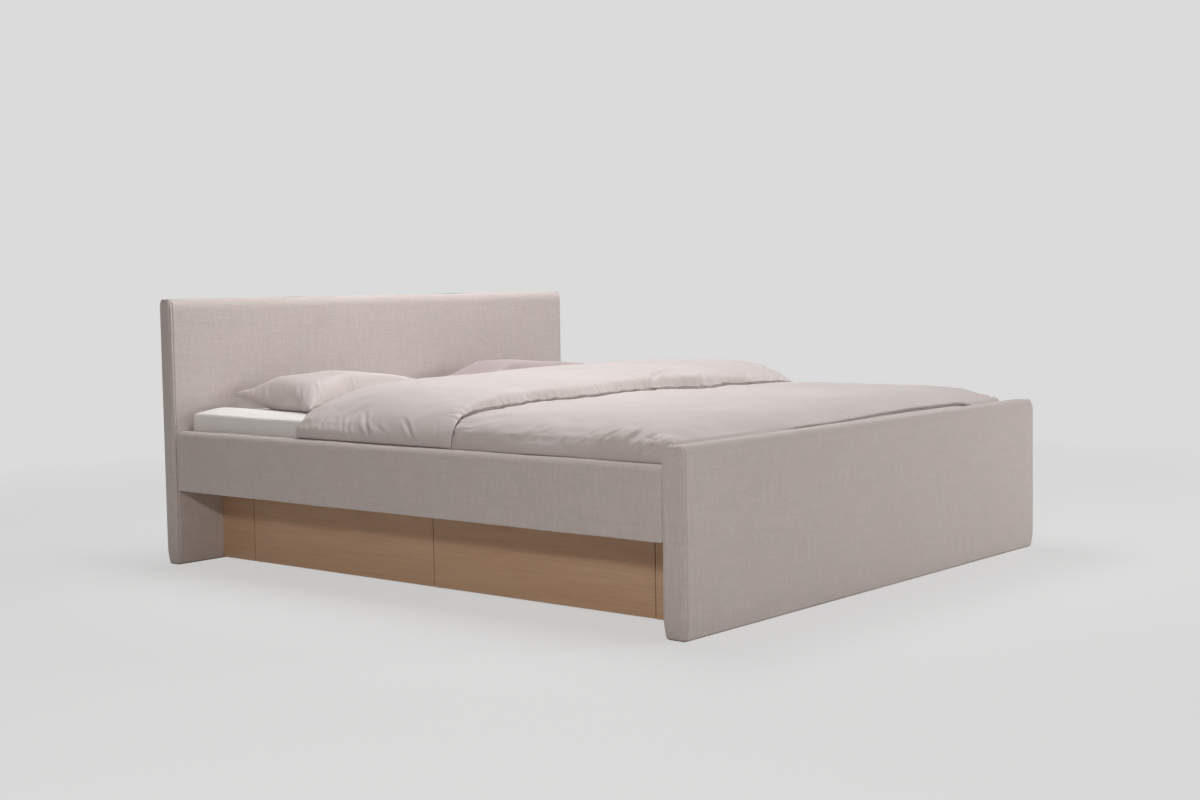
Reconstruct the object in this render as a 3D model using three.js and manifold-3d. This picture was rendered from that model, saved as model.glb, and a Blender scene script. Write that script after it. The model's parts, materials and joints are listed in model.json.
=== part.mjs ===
import * as THREE from 'three';
import { mergeVertices } from 'three/addons/utils/BufferGeometryUtils.js';
import Module from 'manifold-3d';

// A double softside waterbed: padded head and foot boards and side rails round a foam-framed
// water mattress, on a recessed oak pedestal with four drawers, made up with its bedding.
// Lengths are in millimetres. +Z is up and +Y points to the head end. The origin is on the
// floor under the middle of the whole bed.

// Mattress, and the room round it
const mattressWidth = 1800;
const mattressLength = 2000;
const mattressHeight = 220;
const mattressCorner = 40;
const mattressEdge = 25;
const sideGap = 14;
const endGap = 20;

// Room between pieces that touch, and the overrun of a cut
const fitGap = 0.3;
const overrun = 5;

// Padded boards and rails
const railThick = 50;
const railInset = 6;
const railDrop = 50;
const railSkirt = 14;
const headThick = 62;
const footThick = 76;
const headHeight = 883;
const footHeight = 506;
const padThick = 12;
const liningThick = 4;
const padEdge = 11;
const padCorner = 14;
const coverLift = 3;
const coreCorner = 8;
const coreLift = 2;
const hemTuck = 7;
const hemTuckHeight = 60;
const hemTuckShares = [0, 0.3, 0.65, 1];
const ledgeWidth = 24;

// Angle brackets that join the rails to the boards
const bracketLeg = 64;
const bracketHeight = 110;
const bracketThick = 4;
const boltRadius = 4;
const boltReach = 32;
const boltHeadRadius = 8;
const boltHeadHeight = 5;
const boltInset = 26;
const boltEdge = 28;

// Deck and pedestal
const deckTop = 280;
const deckThick = 18;
const deckJoint = 1;
const overhang = 182;
const panelThick = 18;
const stripWidth = 167;
const plinthLift = 5;

// Drawers: grooved sides on hardwood runners
const frontThick = 18;
const frontJoint = 3;
const frontArris = 1.5;
const fingerRoom = 24;
const pullDepth = 9;
const pullHeight = 26;
const boxLift = 13;
const boxDrop = 53;
const boxWall = 16;
const boxSideGap = 3;
const boxBackGap = 55;
const sheetRise = 10;
const sheetLap = 6;
const drawerSheetThick = 6;
const runnerThick = 12;
const runnerHeight = 16;
const runnerRise = 90;
const runnerNose = 6;
const runnerBackGap = 24;
const runnerPlay = 0.7;
const runnerDrop = 1.5;

// Mattress: sheet, quilted cover, foam frame, liner, heaters and water cores
const sheetThick = 2;
const quiltThick = 6;
const quiltTopThick = 16;
const bolsterFoot = 150;
const bolsterHead = 90;
const linerThick = 2;
const heaterWidth = 420;
const heaterLength = 1300;
const heaterThick = 3;
const heaterCorner = 30;
const dividerThick = 30;
const coreDrop = 14;
const coreEdge = 46;
const waterCorner = 70;
const coreCrown = 5;
const coreCrownInset = 150;
const coreClearance = 0.6;
const valveRadius = 28;
const valveHeight = 4;
const valveFromFoot = 330;

// Duvet, folded back from the pillows
const layerLoft = 48;
const foldLoft = 113;
const foldRoll = 52;
const foldFromHead = 460;
const foldDraw = 55;
const hemFromHead = 1195;
const hemBow = 175;
const hemWave = 5;
const hemWaveLength = 190;
const layerReach = 21;
const foldReach = 27;
const layerShoulder = 160;
const leftShoulder = 475;
const rightShoulder = 100;
const footSlope = 170;
const footLoft = 6;
const footGap = 1.5;
const edgeLoft = 2;
const drape = 1.2;
const hemSlope = 190;
const hemRunShares = [1, 0.55, 0.2, 0.06, 0];
const hemDropShares = [0, 0.2, 0.47, 0.66, 1];
const foldPower = 1.7;
const layerPower = 2.8;
const footPower = 1.25;
const foldDrawPower = 6;

// Pillows
const pillowLength = 800;
const pillowWidth = 405;
const pillowCrown = 126;
const pillowSeam = 52;
const pillowFromHead = 2;
const pillowGap = 30;
const pillowShift = 75;
const pillowDrawShare = 0.035;
const pillowEndPower = 2.6;
const pillowSidePower = 2.2;
const pillowSwellPower = 0.62;

// Facets of the round stretches
const edgeSteps = 4;
const cornerSteps = 4;
const boltSides = 12;
const valveSides = 24;
const rollSteps = 8;
const pillowColumns = 22;
const pillowRows = 12;

// Where the duvet's mesh has its rows, as shares of each stretch: along the bed, the folded
// part, the single layer and its fall at the foot; across it, the flat field and the mattress
// edge, and between that edge and the rail
const foldRowShares = [0.2, 0.4, 0.6, 0.8];
const layerRowShares = [0.15, 0.4, 0.7, 1];
const fallRowShares = [0.3, 0.55, 0.75, 0.9, 1];
const fieldShares = [0, 0.17, 0.34, 0.5, 0.62, 0.72, 0.8, 0.87, 0.94, 1];
const edgeShares = [0.5, 0.87, 0.99];
const gutterShare = 0.4;

// What follows from the driving sizes
const railInner = mattressWidth / 2 + sideGap;
const railOuter = railInner + railThick;
const boardWidth = 2 * (railOuter + railInset);
const innerHalf = mattressLength / 2 + endGap;
const mattressTop = deckTop + mattressHeight;
const mattressBottom = deckTop + fitGap;
const railTop = mattressTop - railDrop;
const deckBottom = deckTop - deckThick;
const railBottom = deckBottom - railSkirt;
const pedestalTop = deckBottom - fitGap;
const pedestalHalf = railOuter - overhang;
const panelHalf = pedestalHalf - frontThick - fitGap;
const stripEdge = innerHalf - stripWidth;
const gableY = stripEdge - frontJoint / 2;
const boltCentre = fitGap + bracketThick + boltInset;
const bracketBottom = (deckTop + railTop - bracketHeight) / 2;
const boltHeights = [bracketBottom + boltEdge, bracketBottom + bracketHeight - boltEdge];

const fabric = { color: 0xb3a7a0, roughness: 0.95, metalness: 0 };
const board = { color: 0xc9a878, roughness: 0.8, metalness: 0 };
const oak = { color: 0x9c7d60, roughness: 0.6, metalness: 0 };
const birch = { color: 0xd9c29a, roughness: 0.6, metalness: 0 };
const beech = { color: 0xc48f5c, roughness: 0.5, metalness: 0 };
const steel = { color: 0x8f9396, roughness: 0.4, metalness: 0.9 };
const foam = { color: 0xe9e3c8, roughness: 1, metalness: 0 };
const sheeting = { color: 0x3e5f86, roughness: 0.4, metalness: 0 };
const vinyl = { color: 0x5f93c4, roughness: 0.3, metalness: 0 };
const heating = { color: 0x2b2b2e, roughness: 0.5, metalness: 0 };
const quilting = { color: 0xe8e6e2, roughness: 0.95, metalness: 0 };
const percale = { color: 0xefeeeb, roughness: 0.85, metalness: 0 };
const satin = { color: 0xd3c8c4, roughness: 0.7, metalness: 0 };

const wasm = await Module();
wasm.setup();

// The bed is drawn about the middle of the room between its boards
const bed = new THREE.Group();
const assembly = new THREE.Group();
assembly.position.y = (footThick - headThick) / 2;
bed.add(assembly);

function add(group, name, geometry, finish) {
  const mesh = new THREE.Mesh(geometry, new THREE.MeshStandardMaterial(finish));
  mesh.name = name;
  group.add(mesh);
}

// Solids and booleans
function toSolid(geometry) {
  const bare = geometry.clone();
  bare.deleteAttribute('normal');
  bare.deleteAttribute('uv');
  const merged = mergeVertices(bare);
  return new wasm.Manifold(new wasm.Mesh({
    numProp: 3,
    vertProperties: new Float32Array(merged.attributes.position.array),
    triVerts: new Uint32Array(merged.index.array),
  }));
}

function toGeometry(solid) {
  const cut = solid.getMesh();
  const geometry = new THREE.BufferGeometry();
  geometry.setAttribute('position', new THREE.BufferAttribute(cut.vertProperties, 3));
  geometry.setIndex(new THREE.BufferAttribute(cut.triVerts, 1));
  geometry.computeVertexNormals();
  return geometry;
}

function cutFrom(geometry, ...tools) {
  return toGeometry(tools.reduce((body, tool) => body.subtract(toSolid(tool)), toSolid(geometry)));
}

function joined(...geometries) {
  const [first, ...others] = geometries.map(toSolid);
  return toGeometry(others.reduce((body, other) => body.add(other), first));
}

// A block between two opposite corners, given in any order
function block([x0, y0, z0], [x1, y1, z1]) {
  const geometry = new THREE.BoxGeometry(Math.abs(x1 - x0), Math.abs(y1 - y0), Math.abs(z1 - z0));
  return geometry.translate((x0 + x1) / 2, (y0 + y1) / 2, (z0 + z1) / 2);
}

// A section drawn in X and Z, run along Y from y0 to y1
function alongY(shape, y0, y1) {
  const settings = { depth: y1 - y0, bevelEnabled: false, curveSegments: edgeSteps };
  return new THREE.ExtrudeGeometry(shape, settings).rotateX(Math.PI / 2).translate(0, y1, 0);
}

// A round bar from a point, along a direction
function bar(radius, length, sides, start, direction) {
  const geometry = new THREE.CylinderGeometry(radius, radius, length, sides);
  geometry.translate(0, length / 2, 0);
  const turn = new THREE.Quaternion().setFromUnitVectors(new THREE.Vector3(0, 1, 0), direction);
  return geometry.applyQuaternion(turn).translate(start.x, start.y, start.z);
}

// A closed body through rings of equally many points, each anticlockwise from the far end
function loft(rings, flatten) {
  const count = rings[0].length;
  const last = (rings.length - 1) * count;
  const positions = rings.flat().flatMap((point) => point.toArray());
  const faces = [];
  for (let row = 0; row < last; row += count) {
    for (let step = 0; step < count; step += 1) {
      const next = (step + 1) % count;
      faces.push(row + step, row + next, row + next + count);
      faces.push(row + step, row + next + count, row + step + count);
    }
  }
  const cap = (ring) => THREE.ShapeUtils.triangulateShape(ring.map(flatten), []);
  for (const [a, b, c] of cap(rings[0])) faces.push(c, b, a);
  for (const [a, b, c] of cap(rings.at(-1))) faces.push(last + a, last + b, last + c);
  const geometry = new THREE.BufferGeometry();
  geometry.setAttribute('position', new THREE.Float32BufferAttribute(positions, 3));
  geometry.setIndex(faces);
  geometry.computeVertexNormals();
  return geometry;
}

const fromAbove = (point) => new THREE.Vector2(point.x, point.y);
const fromTheRight = (point) => new THREE.Vector2(point.y, point.z);

// A level ring round a rectangle with round corners
function levelRing([x0, y0], [x1, y1], corner, z) {
  const centres = [
    [x1 - corner, y1 - corner],
    [x0 + corner, y1 - corner],
    [x0 + corner, y0 + corner],
    [x1 - corner, y0 + corner],
  ];
  return centres.flatMap(([x, y], quarter) => {
    const points = [];
    for (let step = 0; step <= cornerSteps; step += 1) {
      const angle = (quarter + step / cornerSteps) * Math.PI / 2;
      points.push(new THREE.Vector3(x + corner * Math.cos(angle), y + corner * Math.sin(angle), z));
    }
    return points;
  });
}

// The last rings of a body whose top edge is round
function topEdgeRings(halfX, halfY, top, corner, edge) {
  const rings = [];
  for (let step = 0; step <= edgeSteps; step += 1) {
    const angle = step / edgeSteps * Math.PI / 2;
    const inset = edge * (1 - Math.cos(angle));
    const [x, y] = [halfX - inset, halfY - inset];
    rings.push(levelRing([-x, -y], [x, y], corner - inset, top - edge + edge * Math.sin(angle)));
  }
  return rings;
}

// A block with round upright corners and a round edge at its top
function softBlock([halfX, halfY], bottom, top, corner, edge) {
  const foot = levelRing([-halfX, -halfY], [halfX, halfY], corner, bottom);
  return loft([foot, ...topEdgeRings(halfX, halfY, top, corner, edge)], fromAbove);
}

// A tapered block between two level rectangles about the middle
function frustum([lowX, lowY], bottom, [highX, highY], top) {
  const ring = (x, y, z) => {
    const corners = [[x, y], [-x, y], [-x, -y], [x, -y]];
    return corners.map(([px, py]) => new THREE.Vector3(px, py, z));
  };
  return loft([ring(lowX, lowY, bottom), ring(highX, highY, top)], fromAbove);
}

const mix = (from, to, share) => from + (to - from) * share;
const shrink = (pair, inset) => pair.map((half) => half - inset);

// A round shoulder: 1 where it starts, 0 at its end
function shoulder(share, power) {
  const clamped = Math.min(Math.max(share, 0), 1);
  return (1 - clamped ** power) ** (1 / power);
}

// Padded boards
// The panel in a board: an outline with round top corners, run through its thickness
function boardPanel(width, height, y0, y1) {
  const half = width / 2;
  const shape = new THREE.Shape();
  shape.moveTo(-half, 0);
  shape.lineTo(half, 0);
  shape.lineTo(half, height - coreCorner);
  shape.absarc(half - coreCorner, height - coreCorner, coreCorner, 0, Math.PI / 2);
  shape.lineTo(coreCorner - half, height);
  shape.absarc(coreCorner - half, height - coreCorner, coreCorner, Math.PI / 2, Math.PI);
  shape.closePath();
  return alongY(shape, y0, y1);
}

// Foam and fabric over the panel, drawn in a little at the foot of each side
function boardPadding(thick, height) {
  const [halfX, halfY] = [boardWidth / 2, thick / 2];
  const feet = hemTuckShares.map((share) => {
    const x = halfX - hemTuck * (1 - share) ** 2;
    return levelRing([-x, -halfY], [x, halfY], padCorner, coverLift + share * hemTuckHeight);
  });
  return loft([...feet, ...topEdgeRings(halfX, halfY, height, padCorner, padEdge)], fromAbove);
}

// Clearance holes for the bolts that come into a board from the mattress side
function boardHoles(outward) {
  const direction = new THREE.Vector3(0, outward, 0);
  const length = overrun + boltReach + 2 * fitGap;
  const holes = [];
  for (const x of [boltCentre - railInner, railInner - boltCentre]) {
    for (const z of boltHeights) {
      const start = new THREE.Vector3(x, outward * (innerHalf - overrun), z);
      holes.push(bar(boltRadius + fitGap, length, boltSides, start, direction));
    }
  }
  return holes;
}

// One upholstered board: outward is 1 at the head end and -1 at the foot end
function addBoard(name, outward, thick, height, backPad) {
  const near = outward * (innerHalf + padThick);
  const far = outward * (innerHalf + thick - backPad);
  const [low, high] = [Math.min(near, far), Math.max(near, far)];
  const width = boardWidth - 2 * padThick;
  const pocket = boardPanel(width, height - padThick, low, high);
  const core = boardPanel(width - 2 * fitGap, height - padThick - fitGap, low + fitGap, high - fitGap);
  const padding = boardPadding(thick, height).translate(0, outward * (innerHalf + thick / 2), 0);
  add(assembly, `${name}_cover`, cutFrom(padding, pocket, ...boardHoles(outward)), fabric);
  add(assembly, `${name}_core`, cutFrom(core, ...boardHoles(outward)), board);
}

// Padded side rails, drawn for the left side
// Padding over the top and both faces of the rail, open below
function railPadding() {
  const crown = railTop - padThick;
  const shape = new THREE.Shape();
  shape.moveTo(-railOuter, railBottom);
  shape.lineTo(padThick - railOuter, railBottom);
  shape.lineTo(padThick - railOuter, crown);
  shape.lineTo(-railInner - liningThick, crown);
  shape.lineTo(-railInner - liningThick, deckBottom);
  shape.lineTo(-railInner, deckBottom);
  shape.lineTo(-railInner, railTop - padEdge);
  shape.absarc(-railInner - padEdge, railTop - padEdge, padEdge, 0, Math.PI / 2);
  shape.lineTo(padEdge - railOuter, railTop);
  shape.absarc(padEdge - railOuter, railTop - padEdge, padEdge, Math.PI / 2, Math.PI);
  shape.closePath();
  return shape;
}

// The rail's board, with the ledge that the deck lies on
function railBoard() {
  const outer = padThick + fitGap - railOuter;
  const inner = -railInner - liningThick - fitGap;
  const ledge = ledgeWidth - railInner;
  const shape = new THREE.Shape();
  shape.moveTo(outer, railBottom + coreLift);
  shape.lineTo(ledge, railBottom + coreLift);
  shape.lineTo(ledge, pedestalTop);
  shape.lineTo(inner, pedestalTop);
  shape.lineTo(inner, railTop - padThick - fitGap);
  shape.lineTo(outer, railTop - padThick - fitGap);
  shape.closePath();
  return shape;
}

function railHoles() {
  const outward = new THREE.Vector3(-1, 0, 0);
  const length = overrun + boltReach + 2 * fitGap;
  const holes = [];
  for (const y of [boltCentre - innerHalf, innerHalf - boltCentre]) {
    for (const z of boltHeights) {
      const start = new THREE.Vector3(overrun - railInner, y, z);
      holes.push(bar(boltRadius + fitGap, length, boltSides, start, outward));
    }
  }
  return holes;
}

function addRail(group, side) {
  const half = innerHalf - fitGap;
  add(group, `${side}_rail_cover`, cutFrom(alongY(railPadding(), -half, half), ...railHoles()), fabric);
  add(group, `${side}_rail_core`, cutFrom(alongY(railBoard(), -half, half), ...railHoles()), board);
}

// Angle bracket with its four bolts, drawn about the corner that it stands in: one leg runs
// along +X on the board, the other along -Y on the rail
function cornerBracket() {
  const top = bracketBottom + bracketHeight;
  const parts = [
    block([0, -bracketLeg, bracketBottom], [bracketThick, 0, top]),
    block([0, -bracketThick, bracketBottom], [bracketLeg, 0, top]),
  ];
  const centre = boltCentre - fitGap;
  const seat = bracketThick + boltHeadHeight;
  for (const z of boltHeights) {
    const intoRail = [new THREE.Vector3(seat, -centre, z), new THREE.Vector3(-1, 0, 0)];
    const intoBoard = [new THREE.Vector3(centre, -seat, z), new THREE.Vector3(0, 1, 0)];
    for (const [start, direction] of [intoRail, intoBoard]) {
      parts.push(bar(boltHeadRadius, boltHeadHeight + bracketThick / 2, boltSides, start, direction));
      parts.push(bar(boltRadius, seat + boltReach, boltSides, start, direction));
    }
  }
  return joined(...parts);
}

function addBrackets() {
  const corners = [['left', 'foot'], ['right', 'foot'], ['right', 'head'], ['left', 'head']];
  corners.forEach(([side, end], quarter) => {
    const geometry = cornerBracket().rotateZ((quarter + 1) * Math.PI / 2);
    const x = (side === 'left' ? -1 : 1) * (railInner - fitGap);
    const y = (end === 'foot' ? -1 : 1) * (innerHalf - fitGap);
    add(assembly, `corner_bracket_${end}_${side}`, geometry.translate(x, y, 0), steel);
  });
}

// Deck of three boards, between the rails
function addDeck() {
  const [x, half] = [railInner - fitGap, innerHalf - fitGap];
  const length = (2 * half - 2 * deckJoint) / 3;
  ['foot', 'middle', 'head'].forEach((place, index) => {
    const y = -half + index * (length + deckJoint);
    add(assembly, `deck_board_${place}`, block([-x, y, deckBottom], [x, y + length, deckTop]), board);
  });
}

// Pedestal
// The cross panels stand on the floor and are halved over the spine
function addGable(name, y) {
  const half = panelThick / 2;
  const panel = block([-panelHalf, y - half, 0], [panelHalf, y + half, pedestalTop]);
  const slot = block(
    [-half - fitGap, y - half - overrun, pedestalTop / 2],
    [half + fitGap, y + half + overrun, pedestalTop + overrun],
  );
  add(assembly, name, cutFrom(panel, slot), board);
}

function addSpine() {
  const half = panelThick / 2;
  const length = innerHalf - panelThick - 2 * fitGap;
  const panel = block([-half, -length, 0], [half, length, pedestalTop]);
  const slots = [-gableY, 0, gableY].map((y) => block(
    [-half - overrun, y - half - fitGap, -overrun],
    [half + overrun, y + half + fitGap, pedestalTop / 2 + fitGap],
  ));
  add(assembly, 'spine', cutFrom(panel, ...slots), board);
}

function addPedestal() {
  addGable('foot_gable', -gableY);
  addGable('centre_gable', 0);
  addGable('head_gable', gableY);
  addSpine();
  const outer = innerHalf - fitGap;
  for (const [end, way] of [['foot', -1], ['head', 1]]) {
    const low = [-panelHalf, way * (outer - panelThick), 0];
    const panel = block(low, [panelHalf, way * outer, pedestalTop]);
    add(assembly, `${end}_end_panel`, panel, board);
    for (const [side, across] of [['left', -1], ['right', 1]]) {
      const inner = [across * (pedestalHalf - frontThick), way * stripEdge, plinthLift];
      const strip = block(inner, [across * pedestalHalf, way * outer, pedestalTop]);
      add(assembly, `plinth_strip_${end}_${side}`, strip, oak);
    }
  }
}

// Drawers, drawn for the left side: way is 1 for the drawer nearer +Y and -1 for the other
const frontTop = pedestalTop - fingerRoom;
const boxBottom = plinthLift + boxLift;
const boxTop = frontTop - boxDrop;
const boxBack = panelThick / 2 + boxBackGap;
const boxNear = panelThick / 2 + boxSideGap;
const boxFar = gableY - panelThick / 2 - boxSideGap;
const runnerBottom = boxBottom + runnerRise;
const runnerFront = panelHalf - boxWall - fitGap;
const grooveDepth = fitGap + runnerThick - boxSideGap + runnerPlay;

// Front with a finger pull: the back of its top edge is hollowed to a lip
function drawerFront(way) {
  const [outer, inner] = [-pedestalHalf, frontThick - pedestalHalf];
  const lip = outer + pullDepth;
  const shape = new THREE.Shape();
  shape.moveTo(outer + frontArris, plinthLift);
  shape.lineTo(inner, plinthLift);
  shape.lineTo(inner, frontTop - pullHeight);
  shape.quadraticCurveTo(lip, frontTop - pullHeight, lip, frontTop);
  shape.lineTo(outer + frontArris, frontTop);
  shape.lineTo(outer, frontTop - frontArris);
  shape.lineTo(outer, plinthLift + frontArris);
  shape.closePath();
  const [near, far] = [frontJoint / 2, gableY - frontJoint / 2];
  return way > 0 ? alongY(shape, near, far) : alongY(shape, -far, -near);
}

// Four walls, with a groove inside for the bottom and one in each side for its runner
function drawerBox(way) {
  const sheetBottom = boxBottom + sheetRise - fitGap;
  const sheetTop = sheetBottom + drawerSheetThick + 2 * fitGap;
  const walls = block([-panelHalf, way * boxNear, boxBottom], [-boxBack, way * boxFar, boxTop]);
  const room = block(
    [boxWall - panelHalf, way * (boxNear + boxWall), boxBottom - overrun],
    [-boxBack - boxWall, way * (boxFar - boxWall), boxTop + overrun],
  );
  const inset = boxWall - sheetLap;
  const sheetGroove = block(
    [inset - panelHalf, way * (boxNear + inset), sheetBottom],
    [-boxBack - inset, way * (boxFar - inset), sheetTop],
  );
  const grooveAt = (face, inward) => block(
    [boxWall - panelHalf, face - inward * overrun, runnerBottom - runnerDrop],
    [overrun - boxBack, face + inward * grooveDepth, runnerBottom + runnerHeight + fitGap],
  );
  const grooves = [grooveAt(way * boxNear, way), grooveAt(way * boxFar, -way)];
  return cutFrom(walls, room, sheetGroove, ...grooves);
}

function drawerBottom(way) {
  const inset = boxWall - sheetLap + fitGap;
  const bottom = boxBottom + sheetRise;
  return block(
    [inset - panelHalf, way * (boxNear + inset), bottom],
    [-boxBack - inset, way * (boxFar - inset), bottom + drawerSheetThick],
  );
}

// Hardwood runner on a gable's face, with its front end rounded to lead the drawer in
function runner(face, outward) {
  const back = -boxBack - runnerBackGap;
  const top = runnerBottom + runnerHeight;
  const shape = new THREE.Shape();
  shape.moveTo(-runnerFront + runnerNose, runnerBottom);
  shape.lineTo(back, runnerBottom);
  shape.lineTo(back, top);
  shape.lineTo(-runnerFront + runnerNose, top);
  shape.absarc(-runnerFront + runnerNose, top - runnerNose, runnerNose, Math.PI / 2, Math.PI);
  shape.absarc(-runnerFront + runnerNose, runnerBottom + runnerNose, runnerNose, Math.PI, 1.5 * Math.PI);
  shape.closePath();
  const near = face + outward * fitGap;
  const far = near + outward * runnerThick;
  return alongY(shape, Math.min(near, far), Math.max(near, far));
}

function addDrawers(group, side) {
  const half = panelThick / 2;
  for (const way of [1, -1]) {
    const end = (side === 'left' ? way : -way) > 0 ? 'head' : 'foot';
    const name = `${end}_${side}`;
    add(group, `drawer_front_${name}`, drawerFront(way), oak);
    add(group, `drawer_box_${name}`, drawerBox(way), birch);
    add(group, `drawer_bottom_${name}`, drawerBottom(way), birch);
    add(group, `inner_runner_${name}`, runner(way * half, way), beech);
    add(group, `outer_runner_${name}`, runner(way * (gableY - half), -way), beech);
  }
}

// Mattress
const sheetHalves = [mattressWidth / 2, mattressLength / 2];
const quiltInset = sheetThick + fitGap;
const roomInset = quiltInset + quiltThick;
const frameInset = roomInset + fitGap;
const frameHalves = shrink(sheetHalves, frameInset);
const frameTop = mattressTop - quiltInset - quiltTopThick - fitGap;
const linerBottom = mattressBottom + heaterThick + fitGap;
const coreBottom = linerBottom + linerThick + fitGap;
const coreTop = frameTop - coreDrop;

// Half sizes of the room inside the foam frame at a height: its inner faces lean outward
function foamFace(z) {
  const share = (z - mattressBottom) / (frameTop - mattressBottom);
  return shrink(frameHalves, mix(bolsterFoot, bolsterHead, share));
}

// A cap over the mattress, open below: its outer faces set in by one inset, its room by another
function cap(inset, bottom, wall, topThick) {
  const top = mattressTop - inset;
  const [corner, edge] = [mattressCorner - inset, mattressEdge - inset];
  const outer = softBlock(shrink(sheetHalves, inset), bottom, top, corner, edge);
  const halves = shrink(sheetHalves, inset + wall);
  const room = softBlock(halves, bottom - overrun, top - topThick, corner - wall, edge - wall);
  return cutFrom(outer, room);
}

// Foam frame of four mitred bolsters, a part each of one rounded block
function addBolsters(group) {
  const [foot, head] = [foamFace(mattressBottom), foamFace(frameTop)];
  const [x, y] = frameHalves;
  const [corner, edge] = [mattressCorner - frameInset, mattressEdge - frameInset];
  const frame = toSolid(softBlock(frameHalves, mattressBottom, frameTop, corner, edge));
  const gap = fitGap / 2;
  const ring = (points, z) => points.map(([px, py]) => new THREE.Vector3(px, py, z));
  // Outline of the left bolster and of the one at the foot, at one height of the inner face
  const left = ([ix, iy]) => [[-x, y - gap], [-x, gap - y], [-ix, gap - iy], [-ix, iy - gap]];
  const end = ([ix, iy]) => [[gap - x, -y], [x - gap, -y], [ix - gap, -iy], [gap - ix, -iy]];
  const pieces = [['left', left, 0], ['right', left, Math.PI], ['foot', end, 0], ['head', end, Math.PI]];
  for (const [name, outline, turn] of pieces) {
    const body = loft([ring(outline(foot), mattressBottom), ring(outline(head), frameTop)], fromAbove);
    add(group, `foam_bolster_${name}`, toGeometry(toSolid(body.rotateZ(turn)).intersect(frame)), foam);
  }
}

function addLiner(group) {
  const face = (z, inset) => shrink(foamFace(z), inset);
  const outer = frustum(face(linerBottom, fitGap), linerBottom, face(frameTop, fitGap), frameTop);
  const floor = linerBottom + linerThick;
  const inset = fitGap + linerThick;
  const over = frameTop + overrun;
  const room = frustum(face(floor, inset), floor, face(over, inset), over);
  add(group, 'safety_liner', cutFrom(outer, room), sheeting);
}

// Water core of the left half: a soft block with round edges and a low crown, and its valve
function waterCore() {
  const inset = fitGap + linerThick + coreClearance;
  const inner = -dividerThick / 2 - coreClearance;
  const ringAt = (z, round) => {
    const [x, y] = shrink(foamFace(z), inset + round);
    return levelRing([-x, -y], [inner - round, y], Math.max(waterCorner - round, coreEdge / 2), z);
  };
  const rings = [];
  for (let step = 0; step <= edgeSteps; step += 1) {
    const angle = step / edgeSteps * Math.PI / 2;
    rings.push(ringAt(coreBottom + coreEdge * (1 - Math.cos(angle)), coreEdge * (1 - Math.sin(angle))));
  }
  for (let step = 0; step <= edgeSteps; step += 1) {
    const angle = step / edgeSteps * Math.PI / 2;
    rings.push(ringAt(coreTop - coreEdge * (1 - Math.sin(angle)), coreEdge * (1 - Math.cos(angle))));
  }
  const crown = coreTop + coreCrown;
  const [x, y] = shrink(foamFace(coreTop), inset + coreCrownInset);
  rings.push(levelRing([-x, -y], [inner - coreCrownInset, y], coreEdge / 2, crown));
  const middle = (inner - foamFace(coreTop)[0]) / 2;
  const start = new THREE.Vector3(middle, valveFromFoot - sheetHalves[1], coreTop - valveHeight);
  const upward = new THREE.Vector3(0, 0, 1);
  const valve = bar(valveRadius, coreCrown + 2 * valveHeight, valveSides, start, upward);
  return joined(loft(rings, fromAbove), valve);
}

function heaterPad() {
  const middle = -foamFace(mattressBottom)[0] / 2;
  const low = [middle - heaterWidth / 2, -heaterLength / 2];
  const high = [middle + heaterWidth / 2, heaterLength / 2];
  const rings = [0, heaterThick].map((rise) => levelRing(low, high, heaterCorner, mattressBottom + rise));
  return loft(rings, fromAbove);
}

function addDivider(group) {
  const inset = fitGap + linerThick + coreClearance;
  const half = dividerThick / 2;
  const [low, high] = [coreBottom, coreTop].map((z) => [half, foamFace(z)[1] - inset]);
  add(group, 'thermal_divider', frustum(low, coreBottom, high, coreTop), foam);
}

function addMattress() {
  const mattress = new THREE.Group();
  assembly.add(mattress);
  add(mattress, 'fitted_sheet', cap(0, mattressBottom, sheetThick, sheetThick), percale);
  add(mattress, 'mattress_cover', cap(quiltInset, mattressBottom, quiltThick, quiltTopThick), quilting);
  addBolsters(mattress);
  addLiner(mattress);
  addDivider(mattress);
  for (const [side, turn] of [['left', 0], ['right', Math.PI]]) {
    add(mattress, `water_core_${side}`, waterCore().rotateZ(turn), vinyl);
    add(mattress, `heater_pad_${side}`, heaterPad().rotateZ(turn), heating);
  }
}

// Duvet
// Heights across the bed: x runs from the left side to the right
const mattressHalf = mattressWidth / 2;
const railRest = railTop + drape;
const duvetHalf = mattressHalf + foldReach;

// Underside: on the mattress, round its edge and out over the rail
function duvetRest(x) {
  const past = Math.abs(x) - (mattressHalf - mattressEdge);
  const reach = mattressEdge + drape;
  if (past <= 0) return mattressTop + drape;
  if (past <= reach) return mattressTop - mattressEdge + Math.sqrt(reach ** 2 - past ** 2);
  return railRest;
}

// Top of the single layer
function layerTop(x) {
  const reach = mattressHalf + layerReach;
  const share = (Math.abs(x) - (reach - layerShoulder)) / layerShoulder;
  return mix(railRest + edgeLoft, mattressTop + layerLoft, shoulder(share, layerPower));
}

// Top of the folded part: its shoulder is rounder at the fold than at the hem
function foldTop(x, share) {
  const run = x < 0 ? leftShoulder : rightShoulder;
  const power = mix(foldPower, layerPower, share);
  const out = (Math.abs(x) - (duvetHalf - run)) / run;
  return mix(railRest + 2 * edgeLoft, mattressTop + foldLoft, shoulder(out, power));
}

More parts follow.
